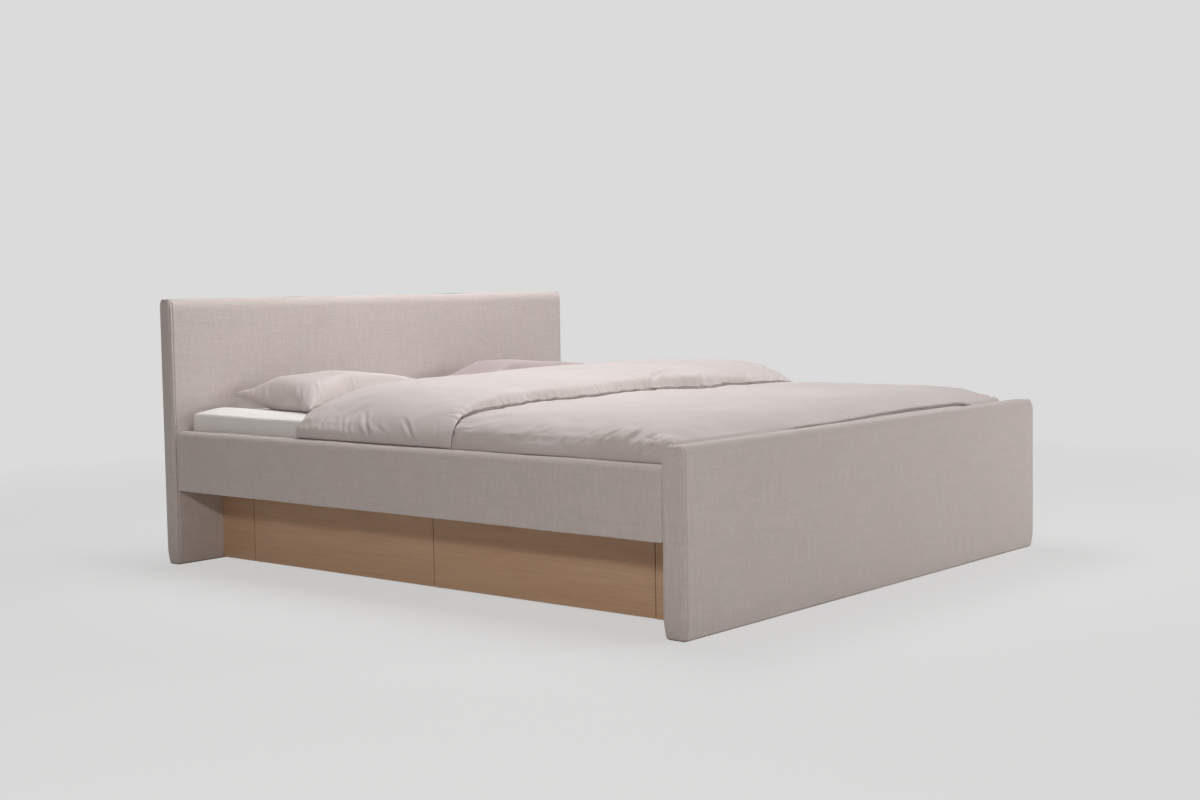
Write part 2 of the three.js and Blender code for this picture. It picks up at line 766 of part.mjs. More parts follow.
// One section across the duvet, from the foot along the underside and back over the top
function duvetSection(x) {
  const across = x / duvetHalf;
  const rest = duvetRest(x);
  const single = layerTop(x);
  const foot = footGap - innerHalf;
  const fold = mattressLength / 2 - foldFromHead - foldDraw * across ** foldDrawPower;
  const wave = hemWave * Math.sin(2 * Math.PI * x / hemWaveLength);
  const hem = mattressLength / 2 - hemFromHead + hemBow * Math.cos(across * Math.PI / 2) + wave;
  const thick = foldTop(x, 0) - rest;
  const roll = Math.min(foldRoll, thick / 2);
  const section = [[foot, rest]];
  for (let step = 0; step <= rollSteps; step += 1) {
    const angle = (step / rollSteps - 0.5) * Math.PI;
    section.push([fold - roll + roll * Math.cos(angle), rest + thick / 2 * (1 + Math.sin(angle))]);
  }
  const [back, front] = [fold - roll, hem + hemSlope];
  for (const share of foldRowShares) section.push([mix(back, front, share), foldTop(x, share)]);
  hemRunShares.forEach((run, index) => {
    section.push([hem + run * hemSlope, mix(foldTop(x, 1), single, hemDropShares[index])]);
  });
  const slope = foot + footSlope;
  for (const share of layerRowShares) section.push([mix(hem, slope, share), single]);
  const low = Math.min(rest + footLoft, single - edgeLoft / 2);
  for (const share of fallRowShares) {
    section.push([mix(slope, foot, share), mix(low, single, shoulder(share, footPower))]);
  }
  return section.map(([y, z]) => new THREE.Vector3(x, y, z));
}

function duvet() {
  const flat = mattressHalf - mattressEdge;
  const field = fieldShares.map((share) => flat * share);
  const round = edgeShares.map((share) => flat + (mattressEdge + drape) * share);
  const gutter = mix(round.at(-1), railInner, gutterShare);
  const rim = [railInner, mattressHalf + layerReach, duvetHalf - edgeLoft, duvetHalf];
  const right = [...field, ...round, gutter, ...rim];
  const stations = [...right.slice(1).reverse().map((x) => -x), ...right];
  return loft(stations.map(duvetSection), fromTheRight);
}

// Pillow: a crowned form whose sides are drawn in between its corners, flat where it lies
function pillow() {
  const [columns, rows] = [pillowColumns, pillowRows];
  const [halfX, halfY] = [pillowLength / 2, pillowWidth / 2];
  const rest = mattressTop + 2 * fitGap;
  const seam = rest + pillowSeam;
  const points = [];
  const faces = [];
  const indexOf = new Map();
  const surface = (column, row, up) => {
    const [u, v] = [2 * column / columns - 1, 2 * row / rows - 1];
    const x = halfX * u * (1 - pillowDrawShare * (1 - v ** 2) * u ** 2);
    const y = halfY * v * (1 - 2 * pillowDrawShare * (1 - u ** 2) * v ** 2);
    const crown = (1 - Math.abs(u) ** pillowEndPower) * (1 - Math.abs(v) ** pillowSidePower);
    const swell = crown ** pillowSwellPower;
    const top = seam + (pillowCrown - pillowSeam) * swell;
    return [x, y, up ? top : Math.max(rest, seam - pillowCrown * swell)];
  };
  const corner = (column, row, up) => {
    const rim = column === 0 || row === 0 || column === columns || row === rows;
    const key = `${column} ${row} ${up || rim}`;
    if (!indexOf.has(key)) {
      indexOf.set(key, points.length / 3);
      points.push(...surface(column, row, up || rim));
    }
    return indexOf.get(key);
  };
  for (const up of [true, false]) {
    for (let column = 0; column < columns; column += 1) {
      for (let row = 0; row < rows; row += 1) {
        const a = corner(column, row, up);
        const b = corner(column + 1, row, up);
        const c = corner(column + 1, row + 1, up);
        const d = corner(column, row + 1, up);
        faces.push(...(up ? [a, b, c, a, c, d] : [a, c, b, a, d, c]));
      }
    }
  }
  const geometry = new THREE.BufferGeometry();
  geometry.setAttribute('position', new THREE.Float32BufferAttribute(points, 3));
  geometry.setIndex(faces);
  geometry.computeVertexNormals();
  return geometry;
}

function addBedding() {
  add(assembly, 'duvet', duvet(), satin);
  const y = mattressLength / 2 - pillowFromHead - pillowWidth / 2;
  for (const [side, across] of [['left', -1], ['right', 1]]) {
    const x = across * (pillowLength + pillowGap) / 2 + pillowShift;
    add(assembly, `pillow_${side}`, pillow().translate(x, y, 0), satin);
  }
}

addBoard('headboard', 1, headThick, headHeight, liningThick);
addBoard('footboard', -1, footThick, footHeight, padThick);
addBrackets();
addDeck();
addPedestal();

// The right side is the left side turned about the middle of the bed
for (const [side, turn] of [['left', 0], ['right', Math.PI]]) {
  const group = new THREE.Group();
  group.rotation.z = turn;
  assembly.add(group);
  addRail(group, side);
  addDrawers(group, side);
}

addMattress();
addBedding();

export default bed;
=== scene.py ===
import json
import math

import bmesh
import bpy
import numpy as np
from mathutils import Matrix, Vector


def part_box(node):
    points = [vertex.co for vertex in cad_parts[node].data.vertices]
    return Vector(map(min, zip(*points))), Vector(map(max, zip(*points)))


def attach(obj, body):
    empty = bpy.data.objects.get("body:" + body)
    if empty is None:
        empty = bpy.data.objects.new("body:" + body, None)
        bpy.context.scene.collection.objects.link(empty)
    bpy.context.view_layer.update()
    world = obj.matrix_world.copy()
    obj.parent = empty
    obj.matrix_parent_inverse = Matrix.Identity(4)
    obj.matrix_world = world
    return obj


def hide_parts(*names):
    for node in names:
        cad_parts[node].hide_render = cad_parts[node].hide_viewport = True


# A double softside waterbed: padded head and foot boards and side rails in linen weave, an oak
# pedestal with drawers, and the mattress made up with a sheet, two pillows and a folded duvet.
# Lengths are in metres, in the model's frame: +Z is up and +Y points to the head end.

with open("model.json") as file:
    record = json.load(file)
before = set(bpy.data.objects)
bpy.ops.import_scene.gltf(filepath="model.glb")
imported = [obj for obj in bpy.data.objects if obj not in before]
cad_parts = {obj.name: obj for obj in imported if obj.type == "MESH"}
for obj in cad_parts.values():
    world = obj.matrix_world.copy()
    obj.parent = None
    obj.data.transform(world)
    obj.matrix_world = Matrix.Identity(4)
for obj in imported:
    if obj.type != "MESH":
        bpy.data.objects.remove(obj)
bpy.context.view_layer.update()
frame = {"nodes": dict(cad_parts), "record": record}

# Camera: where the photograph was taken from
CAMERA_PLACE = (-4.3684, -3.6957, 0.9106)
CAMERA_YAW = math.radians(49.746)
CAMERA_PITCH = math.radians(3.887)
CAMERA_ROLL = math.radians(-0.939)
CAMERA_LENS = 51.482
CAMERA_SENSOR = 36
CAMERA_REACH = 200

# Lamps: name, place, the place aimed at, side, power and colour
LAMPS = (
    ("overhead softbox", (-0.15, 0.1, 2.8), (0, 0.1, 0.5), 1.4, 20, (1, 1, 1)),
    ("head softbox", (0.9, 0.9, 2.8), (0, 0.2, 0.5), 1.2, 28, (1, 1, 1)),
    ("low softbox", (-0.3, 0.2, 2.2), (-0.2, 0.6, 0.5), 0.8, 5.8, (1, 1, 1)),
    ("left softbox", (-4.5, -3.0, 2.3), (-0.8, 0, 0.3), 0.4, 58, (1.0, 0.965, 0.93)),
    ("front softbox", (3.6, -4.6, 1.7), (0, -0.5, 0.4), 1.6, 112, (1, 1, 1)),
)
AMBIENT = (0.196, 0.187, 0.179, 1)

# Floor: how pale, how much of its own shade it keeps, and where it runs out into the backdrop
FLOOR_HALF = 90.0
FLOOR_PALE = 0.8
FLOOR_SHARE = 0.36
FLOOR_GLOW = 1.115
FLOOR_NEAR = 1.9
FLOOR_FAR = 4.6

# Colours as they look in plain light, in sRGB, but for the right pillow's, which has painted shade in it
BACKDROP = 0xdbdbdb
LINEN = 0xcabfbc
LINEN_MAUVE = 0xc9bcb9
LINEN_GREIGE = 0xc7beb9
SATIN = 0xcdc3c1
# The right pillow's satin: pinker than the left pillow's, and darker than it as painted shade for the dimmer
# far side of the bed
MAUVE_WITH_PAINTED_SHADE = 0xb5a7a8
PERCALE = 0xf4f0ee
OAK = 0xd4b191
OAK_DARK = 0xb79577

# Upholstery
PAD_CORNER = 0.014
PAD_EDGE = 0.011
PAD_TUCK = 0.007
PAD_TUCK_HEIGHT = 0.06
PAD_CROWN = 0.0016
PAD_RUMPLE = 0.0006
PAD_RUMPLE_LENGTH = 0.24
CORE_CORNER = 0.008
CORE_ROOM = 0.0003
POCKET_FOOT = 0.002
SKIN_FINE = 0.004
SKIN_COARSE = 0.012
SEAM_AT = -0.007
SEAM_WIDTH = 0.0019
SEAM_DEPTH = 0.0026
RIDGE_WIDTH = 0.003
RIDGE_HEIGHT = 0.0007
STITCH_AT = 0.0035
STITCH_WIDTH = 0.0015
STITCH_DEPTH = 0.0018
RAIL_LINING = 0.004
RAIL_PAD = 0.012
RAIL_END = 0.010
RAIL_LINING_END = 0.25
RAIL_SETTLE = 0.005
RAIL_ROUND = 0.021
RAIL_ROUND_HEIGHT = 0.024
RAIL_FOOT = 0.004
RAIL_LINING_SHORT = 0.014
HEAD_SETTLE = 0.0015
FOOT_SETTLE = 0.008
BOARD_ROUND = 0.021
BOARD_ROUND_HEIGHT = 0.036

# Where a board's inner face meets the rails and stays flat
MEET_ACROSS = (0.86, 0.9)
MEET_LOW = (0.2, 0.24)
MEET_HIGH = (0.46, 0.5)

# Bedding
SHEET_THICK = 0.0008
SHEET_EDGE = 0.010
SHEET_CORNER = 0.008
SHEET_PROUD = 0.0045
SHEET_BULGE = 0.015
SHEET_BULGE_X = (-0.79, 0.085)
SHEET_BULGE_Y = (0.66, 0.95)
SHEET_BARE = (0.42, 0.5)
SHEET_DIMPLE = 0.0007
SHEET_SWELL = 0.0008
SHEET_RELIEF = (-0.0012, 0.003)
SHEET_DIP = 0.0004
PILLOW_FLAT = (0.86, 0.46)
PILLOW_SEAM = 0.052
PILLOW_CELL = 0.009
PILLOW_DOME = 0.012
PILLOW_BOW = (0.012, 0.03)
PILLOW_PLEATS = 12
PILLOW_ROUNDS = 30
PILLOW_FLANK = 1.2
PILLOW_EAR_REACH = 0.07
PILLOW_FALL = 0.1
PILLOW_UNDER_SHARE = 0.95
PILLOW_ROOM = 0.0006
PILLOW_TURN = 0.004
PILLOW_FRAMES = 36
PILLOW_CAP = 0.08
PILLOW_CLOTH = {
    "quality": 5,
    "mass": 0.25,
    "tension_stiffness": 20,
    "compression_stiffness": 12,
    "shear_stiffness": 8,
    "bending_stiffness": 0.15,
    "air_damping": 2,
    "uniform_pressure_force": 4.0,
    "shrink_min": 0.0,
}


# Plain helpers
def linear(code):
    """A hexadecimal sRGB colour as the linear colour that a shader takes."""
    shares = [(code >> shift & 255) / 255 for shift in (16, 8, 0)]
    return [s / 12.92 if s <= 0.04045 else ((s + 0.055) / 1.055) ** 2.4 for s in shares] + [1.0]


def smooth(value, low, high):
    """0 below low, 1 above high and a soft step between them."""
    t = np.clip((np.asarray(value, float) - low) / (high - low), 0, 1)
    return t * t * (3 - 2 * t)


def bell(value, middle, width):
    """1 at middle and falling off to both sides over width."""
    return np.exp(-((value - middle) / width) ** 2)


def ripples(points, length, seed, stretch=(1, 1, 1), waves=26):
    """A smooth random field over points, about 1 at its peaks, whose swells are about length long."""
    random = np.random.default_rng(seed)
    ways = random.normal(size=(waves, 3))
    ways /= np.linalg.norm(ways, axis=1)[:, None]
    pitch = 2 * math.pi / (length * random.uniform(0.7, 1.6, waves))
    ways *= pitch[:, None] / np.asarray(stretch)
    phases = random.uniform(0, 2 * math.pi, waves)
    return np.sin(points @ ways.T + phases).sum(-1) / math.sqrt(waves)


def graded(length, fine, coarse):
    """Places from 0 to length, fine apart at both ends and coarse apart in the middle."""
    half = [0.0]
    step = fine
    while half[-1] + step < length / 2:
        half.append(half[-1] + step)
        step = min(step * 1.3, coarse)
    if length / 2 - half[-1] < step / 2 and len(half) > 1:
        half.pop()
    half = np.array(half)
    return np.concatenate([half, [length / 2], length - half[::-1]])


def sheet_faces(rows, columns, closed=False):
    """Quads between neighbouring rows. closed joins the last point of each row to its first."""
    row = np.arange(rows - 1)[:, None] * columns
    here = np.arange(columns if closed else columns - 1)[None, :]
    after = (here + 1) % columns
    corners = [row + here, row + after, row + columns + after, row + columns + here]
    return np.stack(corners, -1).reshape(-1, 4)


def grid_normals(grid):
    """Unit normals of a grid of points, rows by columns by 3."""
    down, across = np.gradient(grid, axis=0), np.gradient(grid, axis=1)
    normals = np.cross(across, down)
    return normals / np.maximum(np.linalg.norm(normals, axis=-1, keepdims=True), 1e-12)


def vertex_values(mesh, kind):
    """Places ("co") or normals ("normal") of a mesh's vertices."""
    values = np.empty(len(mesh.vertices) * 3)
    mesh.vertices.foreach_get(kind, values)
    return values.reshape(-1, 3)


def make_piece(name, points, faces, look, node):
    """A smooth mesh that replaces a CAD node of the bed's still body."""
    mesh = bpy.data.meshes.new(name)
    mesh.from_pydata(np.asarray(points).reshape(-1, 3).tolist(), [], [list(map(int, f)) for f in faces])
    work = bmesh.new()
    work.from_mesh(mesh)
    bmesh.ops.remove_doubles(work, verts=work.verts, dist=2e-5)
    bmesh.ops.dissolve_degenerate(work, edges=work.edges, dist=1e-6)
    bmesh.ops.recalc_face_normals(work, faces=work.faces)
    work.to_mesh(mesh)
    work.free()
    mesh.materials.append(look)
    mesh.shade_smooth()
    piece = bpy.data.objects.new(name, mesh)
    bpy.context.collection.objects.link(piece)
    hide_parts(node)
    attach(piece, "root")
    return piece


# Materials
class Look:
    """A procedural material whose textures are laid out in metres in the bed's frame."""

    def __init__(self, name, roughness, **sockets):
        self.material = bpy.data.materials.new(name)
        self.material.use_nodes = True
        self.nodes = self.material.node_tree.nodes
        self.links = self.material.node_tree.links
        self.shader = self.nodes["Principled BSDF"]
        self.shader.inputs["Roughness"].default_value = roughness
        for socket, value in sockets.items():
            self.shader.inputs[socket.replace("_", " ")].default_value = value
        self.place = self.nodes.new("ShaderNodeTexCoord").outputs["Object"]
        self.normal = None

    def add(self, kind, inputs, **settings):
        made = self.nodes.new(kind)
        for key, value in settings.items():
            setattr(made, key, value)
        for key, value in inputs.items():
            if isinstance(value, bpy.types.NodeSocket):
                self.links.new(value, made.inputs[key])
            else:
                made.inputs[key].default_value = value
        return made

    def noise(self, size, stretch=(1, 1, 1), detail=2.0, roughness=0.5, offset=0.0):
        """Noise of about size, drawn out by stretch along each axis."""
        scale = [1 / (size * s) for s in stretch]
        inputs = {"Vector": self.place, "Scale": scale, "Location": [offset] * 3}
        laid = self.add("ShaderNodeMapping", inputs).outputs[0]
        made = {"Vector": laid, "Scale": 1.0, "Detail": detail, "Roughness": roughness}
        return self.add("ShaderNodeTexNoise", made).outputs[0]

    def cells(self, size, stretch=(1, 1, 1)):
        """Distance to the nearest of many scattered points, in cells of size."""
        scale = [1 / (size * s) for s in stretch]
        laid = self.add("ShaderNodeMapping", {"Vector": self.place, "Scale": scale}).outputs[0]
        return self.add("ShaderNodeTexVoronoi", {"Vector": laid, "Scale": 1.0}).outputs[0]

    def spread(self, value, low, high, to_low=0.0, to_high=1.0):
        """value mapped from low..high to to_low..to_high, held at the ends."""
        return self.add("ShaderNodeMapRange", {0: value, 1: low, 2: high, 3: to_low, 4: to_high}).outputs[0]

    def sum(self, first, second, share=1.0):
        """first + share * second"""
        inputs = {0: second, 1: share, 2: first}
        return self.add("ShaderNodeMath", inputs, operation="MULTIPLY_ADD").outputs[0]

    def product(self, first, second):
        return self.add("ShaderNodeMath", {0: first, 1: second}, operation="MULTIPLY").outputs[0]

    def mix(self, factor, first, second, kind="MIX"):
        """A colour between two colours, each a socket or a hexadecimal colour."""
        first, second = (linear(c) if isinstance(c, int) else c for c in (first, second))
        inputs = {0: factor, 6: first, 7: second}
        return self.add("ShaderNodeMix", inputs, data_type="RGBA", blend_type=kind).outputs[2]

    def brighten(self, colour, value, low, high):
        """colour times a grey that runs from low to high with value."""
        grey = self.spread(value, 0.0, 1.0, low, high)
        joined = self.add("ShaderNodeCombineColor", {0: grey, 1: grey, 2: grey}).outputs[0]
        return self.mix(1.0, colour, joined, "MULTIPLY")

    def colour(self, value):
        if isinstance(value, int):
            self.shader.inputs["Base Color"].default_value = linear(value)
        else:
            self.links.new(value, self.shader.inputs["Base Color"])

    def rough(self, value):
        self.links.new(value, self.shader.inputs["Roughness"])

    def bump(self, height, depth, strength=1.0):
        """Adds relief of depth metres over what relief there is."""
        inputs = {"Height": height, "Distance": depth, "Strength": strength}
        if self.normal is not None:
            inputs["Normal"] = self.normal
        self.normal = self.add("ShaderNodeBump", inputs).outputs[0]
        self.links.new(self.normal, self.shader.inputs["Normal"])


def linen_look():
    """Plain-woven linen with slubs both ways and soft mottling."""
    look = Look("linen", 0.92, Sheen_Weight=0.18, Sheen_Roughness=0.5, Specular_IOR_Level=0.25)
    upright = look.noise(0.0021, (1, 1, 11), 2.0)
    level = look.noise(0.0021, (11, 11, 1), 2.0, offset=3.1)
    long_upright = look.noise(0.0042, (1, 1, 22), 1.0, offset=7.7)
    long_level = look.noise(0.0038, (24, 24, 1), 1.0, offset=5.3)
    mottle = look.spread(look.noise(0.085, (1, 1, 1), 3.0, 0.6), 0.32, 0.68)
    drift = look.spread(look.noise(0.26, (1, 1, 1.6), 2.0, offset=9.0), 0.3, 0.7)
    base = look.mix(mottle, LINEN_MAUVE, LINEN_GREIGE)
    base = look.mix(look.product(drift, 0.5), base, LINEN)
    threads = look.sum(look.sum(upright, level), look.sum(long_upright, long_level), 0.8)
    threads = look.spread(threads, 1.25, 2.35)
    look.colour(look.brighten(base, threads, 0.9, 1.1))
    weave = look.sum(look.noise(0.0009, (1, 1, 5), 1.0), look.noise(0.0009, (5, 5, 1), 1.0, offset=2.0))
    look.bump(weave, 0.0006, 0.6)
    look.bump(threads, 0.0008, 0.5)
    look.bump(mottle, 0.001, 0.2)
    return look.material


def satin_look(name, colour, shade):
    """Cotton satin: smooth, with a soft sheen and fine crumpling."""
    look = Look(name, 0.62, Sheen_Weight=0.25, Sheen_Roughness=0.4, Specular_IOR_Level=0.35)
    tone = look.spread(look.noise(0.35, (1, 1, 1), 2.0), 0.3, 0.7)
    base = look.mix(tone, colour, shade)
    thread = look.sum(look.noise(0.0007, (14, 1, 1), 1.0), look.noise(0.0007, (1, 14, 1), 1.0, offset=4.0))
    look.colour(look.brighten(base, look.spread(thread, 0.7, 1.3), 0.98, 1.02))
    look.rough(look.spread(look.noise(0.05, (1, 1, 1), 3.0), 0.3, 0.7, 0.55, 0.7))
    creases = look.noise(0.03, (1.8, 1, 1), 3.0, 0.55, 1.0)
    look.bump(creases, 0.003, 0.18)
    look.bump(look.noise(0.011, (1, 1.5, 1), 2.0), 0.0012, 0.15)
    look.bump(thread, 0.0002, 0.4)
    return look.material


def percale_look():
    look = Look("percale", 0.85, Sheen_Weight=0.1, Specular_IOR_Level=0.25)
    tone = look.noise(0.2, (1, 1, 1), 2.0)
    look.colour(look.brighten(look.mix(tone, PERCALE, 0xebe9e6), tone, 0.98, 1.02))
    thread = look.sum(look.noise(0.0006, (10, 10, 1), 1.0), look.noise(0.0006, (1, 1, 10), 1.0, offset=4.0))
    look.bump(look.noise(0.045, (1, 1, 2.2), 2.0), 0.003, 0.2)
    look.bump(thread, 0.0002, 0.5)
    return look.material


def veneer_look():
    """Oak veneer with its grain along the bed."""
    look = Look("oak", 0.5, Specular_IOR_Level=0.4, Coat_Weight=0.12, Coat_Roughness=0.35)
    board = look.noise(0.055, (1, 9, 1), 3.0, 0.6)
    grain = look.noise(0.0035, (1, 60, 1), 4.0, 0.6, 2.0)
    pores = look.spread(look.noise(0.0011, (1, 16, 1), 1.0, 0.5, 6.0), 0.6, 0.72)
    base = look.mix(look.spread(board, 0.3, 0.7), OAK, 0xcca583)
    base = look.mix(look.spread(grain, 0.42, 0.72, 0.0, 0.55), base, OAK_DARK)
    base = look.mix(look.product(pores, 0.35), base, 0x9c795e)
    look.colour(base)
    look.rough(look.spread(grain, 0.3, 0.7, 0.42, 0.56))
    look.bump(pores, -0.0003, 0.5)
    look.bump(grain, 0.0002, 0.4)
    return look.material


def chipboard_look():
    look = Look("chipboard", 0.8)
    chips = look.cells(0.004, (1, 1.6, 1))
    tone = look.noise(0.003, (1, 2, 1), 2.0)
    base = look.mix(look.spread(chips, 0.1, 0.7), 0xc9a878, 0xb08a5c)
    look.colour(look.brighten(base, tone, 0.88, 1.1))
    look.bump(chips, 0.0003, 0.5)
    return look.material


def wood_look(name, pale, dark):
    """Plain solid wood or ply with its grain along the bed."""
    look = Look(name, 0.6)
    grain = look.noise(0.004, (1, 30, 1), 3.0, 0.6)
    band = look.noise(0.03, (1, 30, 1), 2.0, 0.5, 3.0)
    base = look.mix(look.spread(look.sum(grain, band, 0.6), 0.6, 1.0), pale, dark)
    look.colour(base)
    look.bump(grain, 0.0002, 0.5)
    return look.material


def zinc_look():
    look = Look("zinc", 0.38, Metallic=0.9)
    spangle = look.cells(0.006)
    look.colour(look.brighten(0xa9adaf, spangle, 0.86, 1.06))
    look.rough(look.spread(look.noise(0.004, (1, 1, 1), 2.0), 0.3, 0.7, 0.3, 0.5))
    look.bump(look.noise(0.002), 0.0001, 0.4)
    return look.material


def foam_look():
    look = Look("foam", 0.95)
    pores = look.cells(0.0016)
    # Each pore is darker in its middle: painted shade inside the pores
    look.colour(look.brighten(look.mix(look.noise(0.1), 0xe9e3c8, 0xdfd6b4), pores, 0.9, 1.05))
    look.bump(pores, 0.0008, 0.8)
    return look.material


def vinyl_look(name, colour, shade, roughness):
    """Heat-sealed vinyl film with a fine pebble grain."""
    look = Look(name, roughness, Specular_IOR_Level=0.5)
    tone = look.spread(look.noise(0.12), 0.3, 0.7)
    look.colour(look.mix(tone, colour, shade))
    look.bump(look.cells(0.0012), 0.0002, 0.5)
    look.bump(look.noise(0.05, (1, 1, 1), 3.0), 0.002, 0.25)
    return look.material


def quilt_look():
    """Knitted cover with the channels of its diamond quilting."""
    look = Look("quilting", 0.9, Sheen_Weight=0.2)
    split = look.add("ShaderNodeSeparateXYZ", {0: look.place}).outputs
    ridges = []
    for turn in (1.0, -1.0):
        slope = look.sum(split[0], split[1], turn)
        wave = look.add("ShaderNodeMath", {0: look.product(slope, 26.0)}, operation="SINE").outputs[0]
        ridges.append(look.add("ShaderNodeMath", {0: wave}, operation="ABSOLUTE").outputs[0])
    channel = look.spread(look.product(*ridges), 0.0, 0.35)
    # The knit's colour darkens along the channels: painted shade in their hollows
    look.colour(look.brighten(look.mix(look.noise(0.1), 0xe8e6e2, 0xdeddd8), channel, 0.9, 1.02))
    look.bump(channel, 0.004, 0.8)
    look.bump(look.noise(0.001), 0.0003, 0.4)
    return look.material


# Upholstery
def outline(half_x, half_y, corner, arc_steps=18, like=None):
    """A level ring round a rectangle with round corners, with as many points as like has.
    Gives its points, their outward directions, and each one's distance along the ring from the
    middle of its nearest corner, negative on the ends."""
    places, ways, arcs = [], [], []
    half_arc = corner * math.pi / 4
    like_x, like_y, like_corner = like or (half_x, half_y, corner)
    long_side = graded(2 * (like_x - like_corner), 0.003, 0.016)
    long_side = long_side * (half_x - corner) / (like_x - like_corner)
    short_side = graded(2 * (like_y - like_corner), 0.002, 0.005)
    short_side = short_side * (half_y - corner) / (like_y - like_corner)
    for quarter in range(4):
        sign_x = 1 if quarter in (0, 3) else -1
        sign_y = 1 if quarter in (0, 1) else -1
        centre = (sign_x * (half_x - corner), sign_y * (half_y - corner))
        for step in range(arc_steps + 1):
            angle = (quarter + step / arc_steps) * math.pi / 2
            way = (math.cos(angle), math.sin(angle))
            share = (step / arc_steps * 2 - 1) * (1 if quarter in (0, 2) else -1)
            places.append((centre[0] + corner * way[0], centre[1] + corner * way[1]))
            ways.append(way)
            arcs.append(share * half_arc)
        straight = long_side if quarter in (0, 2) else short_side
        run = 1 if quarter in (0, 2) else -1
        turned = (quarter + 1) * math.pi / 2
        way = (math.cos(turned), math.sin(turned))
        ahead = (-way[1], way[0])
        start = places[-1]
        for distance in straight[1:-1]:
            places.append((start[0] + ahead[0] * distance, start[1] + ahead[1] * distance))
            ways.append(way)
            arcs.append(run * (half_arc + min(distance, straight[-1] - distance)))
    return np.array(places), np.array(ways), np.array(arcs)


def inset_ring(ring, ways, half_x, half_y, corner, inset):
    """The ring moved inwards, down to a line where the inset is half the width. The inset is one
    length or one for each point."""
    inset = np.broadcast_to(inset, len(ring))
    moved = ring - ways * np.minimum(inset, corner)[:, None]
    room = np.array([half_x, half_y]) - inset[:, None]
    return np.clip(moved, -room, room)


def seam_relief(distance):
    """Relief across a sewn edge: the seam, its ridge and the topstitching."""
    seam = -SEAM_DEPTH * bell(distance, SEAM_AT, SEAM_WIDTH)
    ridge = RIDGE_HEIGHT * bell(distance, (SEAM_AT + STITCH_AT) / 2, RIDGE_WIDTH)
    stitching = -STITCH_DEPTH * bell(distance, STITCH_AT, STITCH_WIDTH)
    return seam + ridge + stitching


def soft_least(first, second, width=0.004):
    """The lesser of two lengths, with the corner between them rounded."""
    near = np.clip(0.5 + 0.5 * (second - first) / width, 0, 1)
    return second * (1 - near) + first * near - width * near * (1 - near)


def soft_most(first, second, width):
    """The greater of two lengths, with the corner between them rounded."""
    return -soft_least(-first, -second, width)


def skin_row(ring, ways, form, middle, height, inset, angle):
    """One row of a skin round a rectangle: its places and their outward directions, where the skin
    has turned in by angle."""
    level = inset_ring(ring, ways, *form, inset)
    place = np.column_stack([level + middle, np.broadcast_to(height, len(level))])
    return place, np.column_stack([ways * math.cos(angle), np.full(len(level), math.sin(angle))])


def upholster_board(end, look, seed, back, settle):
    """A padded cover round a board: outer skin with sewn end panels, and the pocket inside it.
    back is the sign of Y on the side that stays flat, and settle how far the top has sunk."""
    low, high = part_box(end + "_cover")
    high.z -= settle
    core_low, core_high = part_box(end + "_core")
    middle = ((low + high) / 2).xy
    half_x, half_y = (high.x - low.x) / 2, (high.y - low.y) / 2
    ring, ways, arcs = outline(half_x, half_y, PAD_CORNER)
    pocket_half = [(core_high.x - core_low.x) / 2 + CORE_ROOM, (core_high.y - core_low.y) / 2 + CORE_ROOM]
    pocket, pocket_ways, _ = outline(*pocket_half, CORE_CORNER, like=(half_x, half_y, PAD_CORNER))
    pocket_middle = ((core_low + core_high) / 2).xy
    pocket_top = core_high.z + CORE_ROOM

    rows = []
    for inset in np.linspace(pocket_half[1], 0, 5):
        level = inset_ring(pocket, pocket_ways, *pocket_half, CORE_CORNER, inset)
        rows.append(np.column_stack([level + pocket_middle, np.full(len(level), pocket_top)]))
    for height in np.linspace(pocket_top, low.z + POCKET_FOOT, 8)[1:]:
        rows.append(np.column_stack([pocket + pocket_middle, np.full(len(pocket), height)]))

    # Outer skin: up the sides, round the top edge, and in to the closing line. The top edge rounds
    # off over more height on the faces than on the end panels.
    facing = smooth(np.abs(ways[:, 1]), 0.0, 0.9)
    round_height = PAD_EDGE + (BOARD_ROUND_HEIGHT - PAD_EDGE) * facing
    round_depth = PAD_EDGE + (BOARD_ROUND - PAD_EDGE) * facing
    half_arc = PAD_EDGE * math.pi / 4
    skin = []
    for share in graded(1.0, SKIN_FINE / (high.z - low.z), SKIN_COARSE / (high.z - low.z)):
        height = low.z + (high.z - round_height - low.z) * share
        tuck = PAD_TUCK * np.clip(1 - (height - low.z) / PAD_TUCK_HEIGHT, 0, None) ** 2
        skin.append((height, tuck, height - (high.z - round_height) - half_arc, 0.0))
    for angle in np.linspace(0, math.pi / 2, 19)[1:]:
        height = high.z - round_height * (1 - math.sin(angle))
        skin.append((height, round_depth * (1 - math.cos(angle)), PAD_EDGE * angle - half_arc, angle))
    for share in graded(1.0, 0.04, 0.12)[1:]:
        beyond = (half_y - round_depth) * share
        skin.append((high.z, round_depth + beyond, half_arc + beyond, math.pi / 2))
    for height, inset, rise, angle in skin:
        place, way = skin_row(ring, ways, (half_x, half_y, PAD_CORNER), middle, height, inset, angle)
        relief = seam_relief(soft_least(-arcs, -rise))
        across = np.clip(1 - (place[:, 0] / half_x) ** 6, 0, 1)
        swell = PAD_CROWN * across * (1 - bell(place[:, 2], low.z, 0.05))
        swell *= 1 - bell(place[:, 2], high.z, 0.06)
        at_rail = smooth(np.abs(place[:, 0]), *MEET_ACROSS) * smooth(place[:, 2], *MEET_LOW)
        at_rail *= (1 - smooth(place[:, 2], *MEET_HIGH)) * (ways[:, 1] * back < -0.5)
        rumple = PAD_RUMPLE * ripples(place, PAD_RUMPLE_LENGTH, seed)
        relief = relief + (swell + rumple) * (ways[:, 1] * back <= 0.5) * (1 - at_rail)
        rows.append(place + way * relief[:, None])
    faces = sheet_faces(len(rows), len(ring), True)
    make_piece(end + "_upholstery", np.stack(rows), faces, look, end + "_cover")


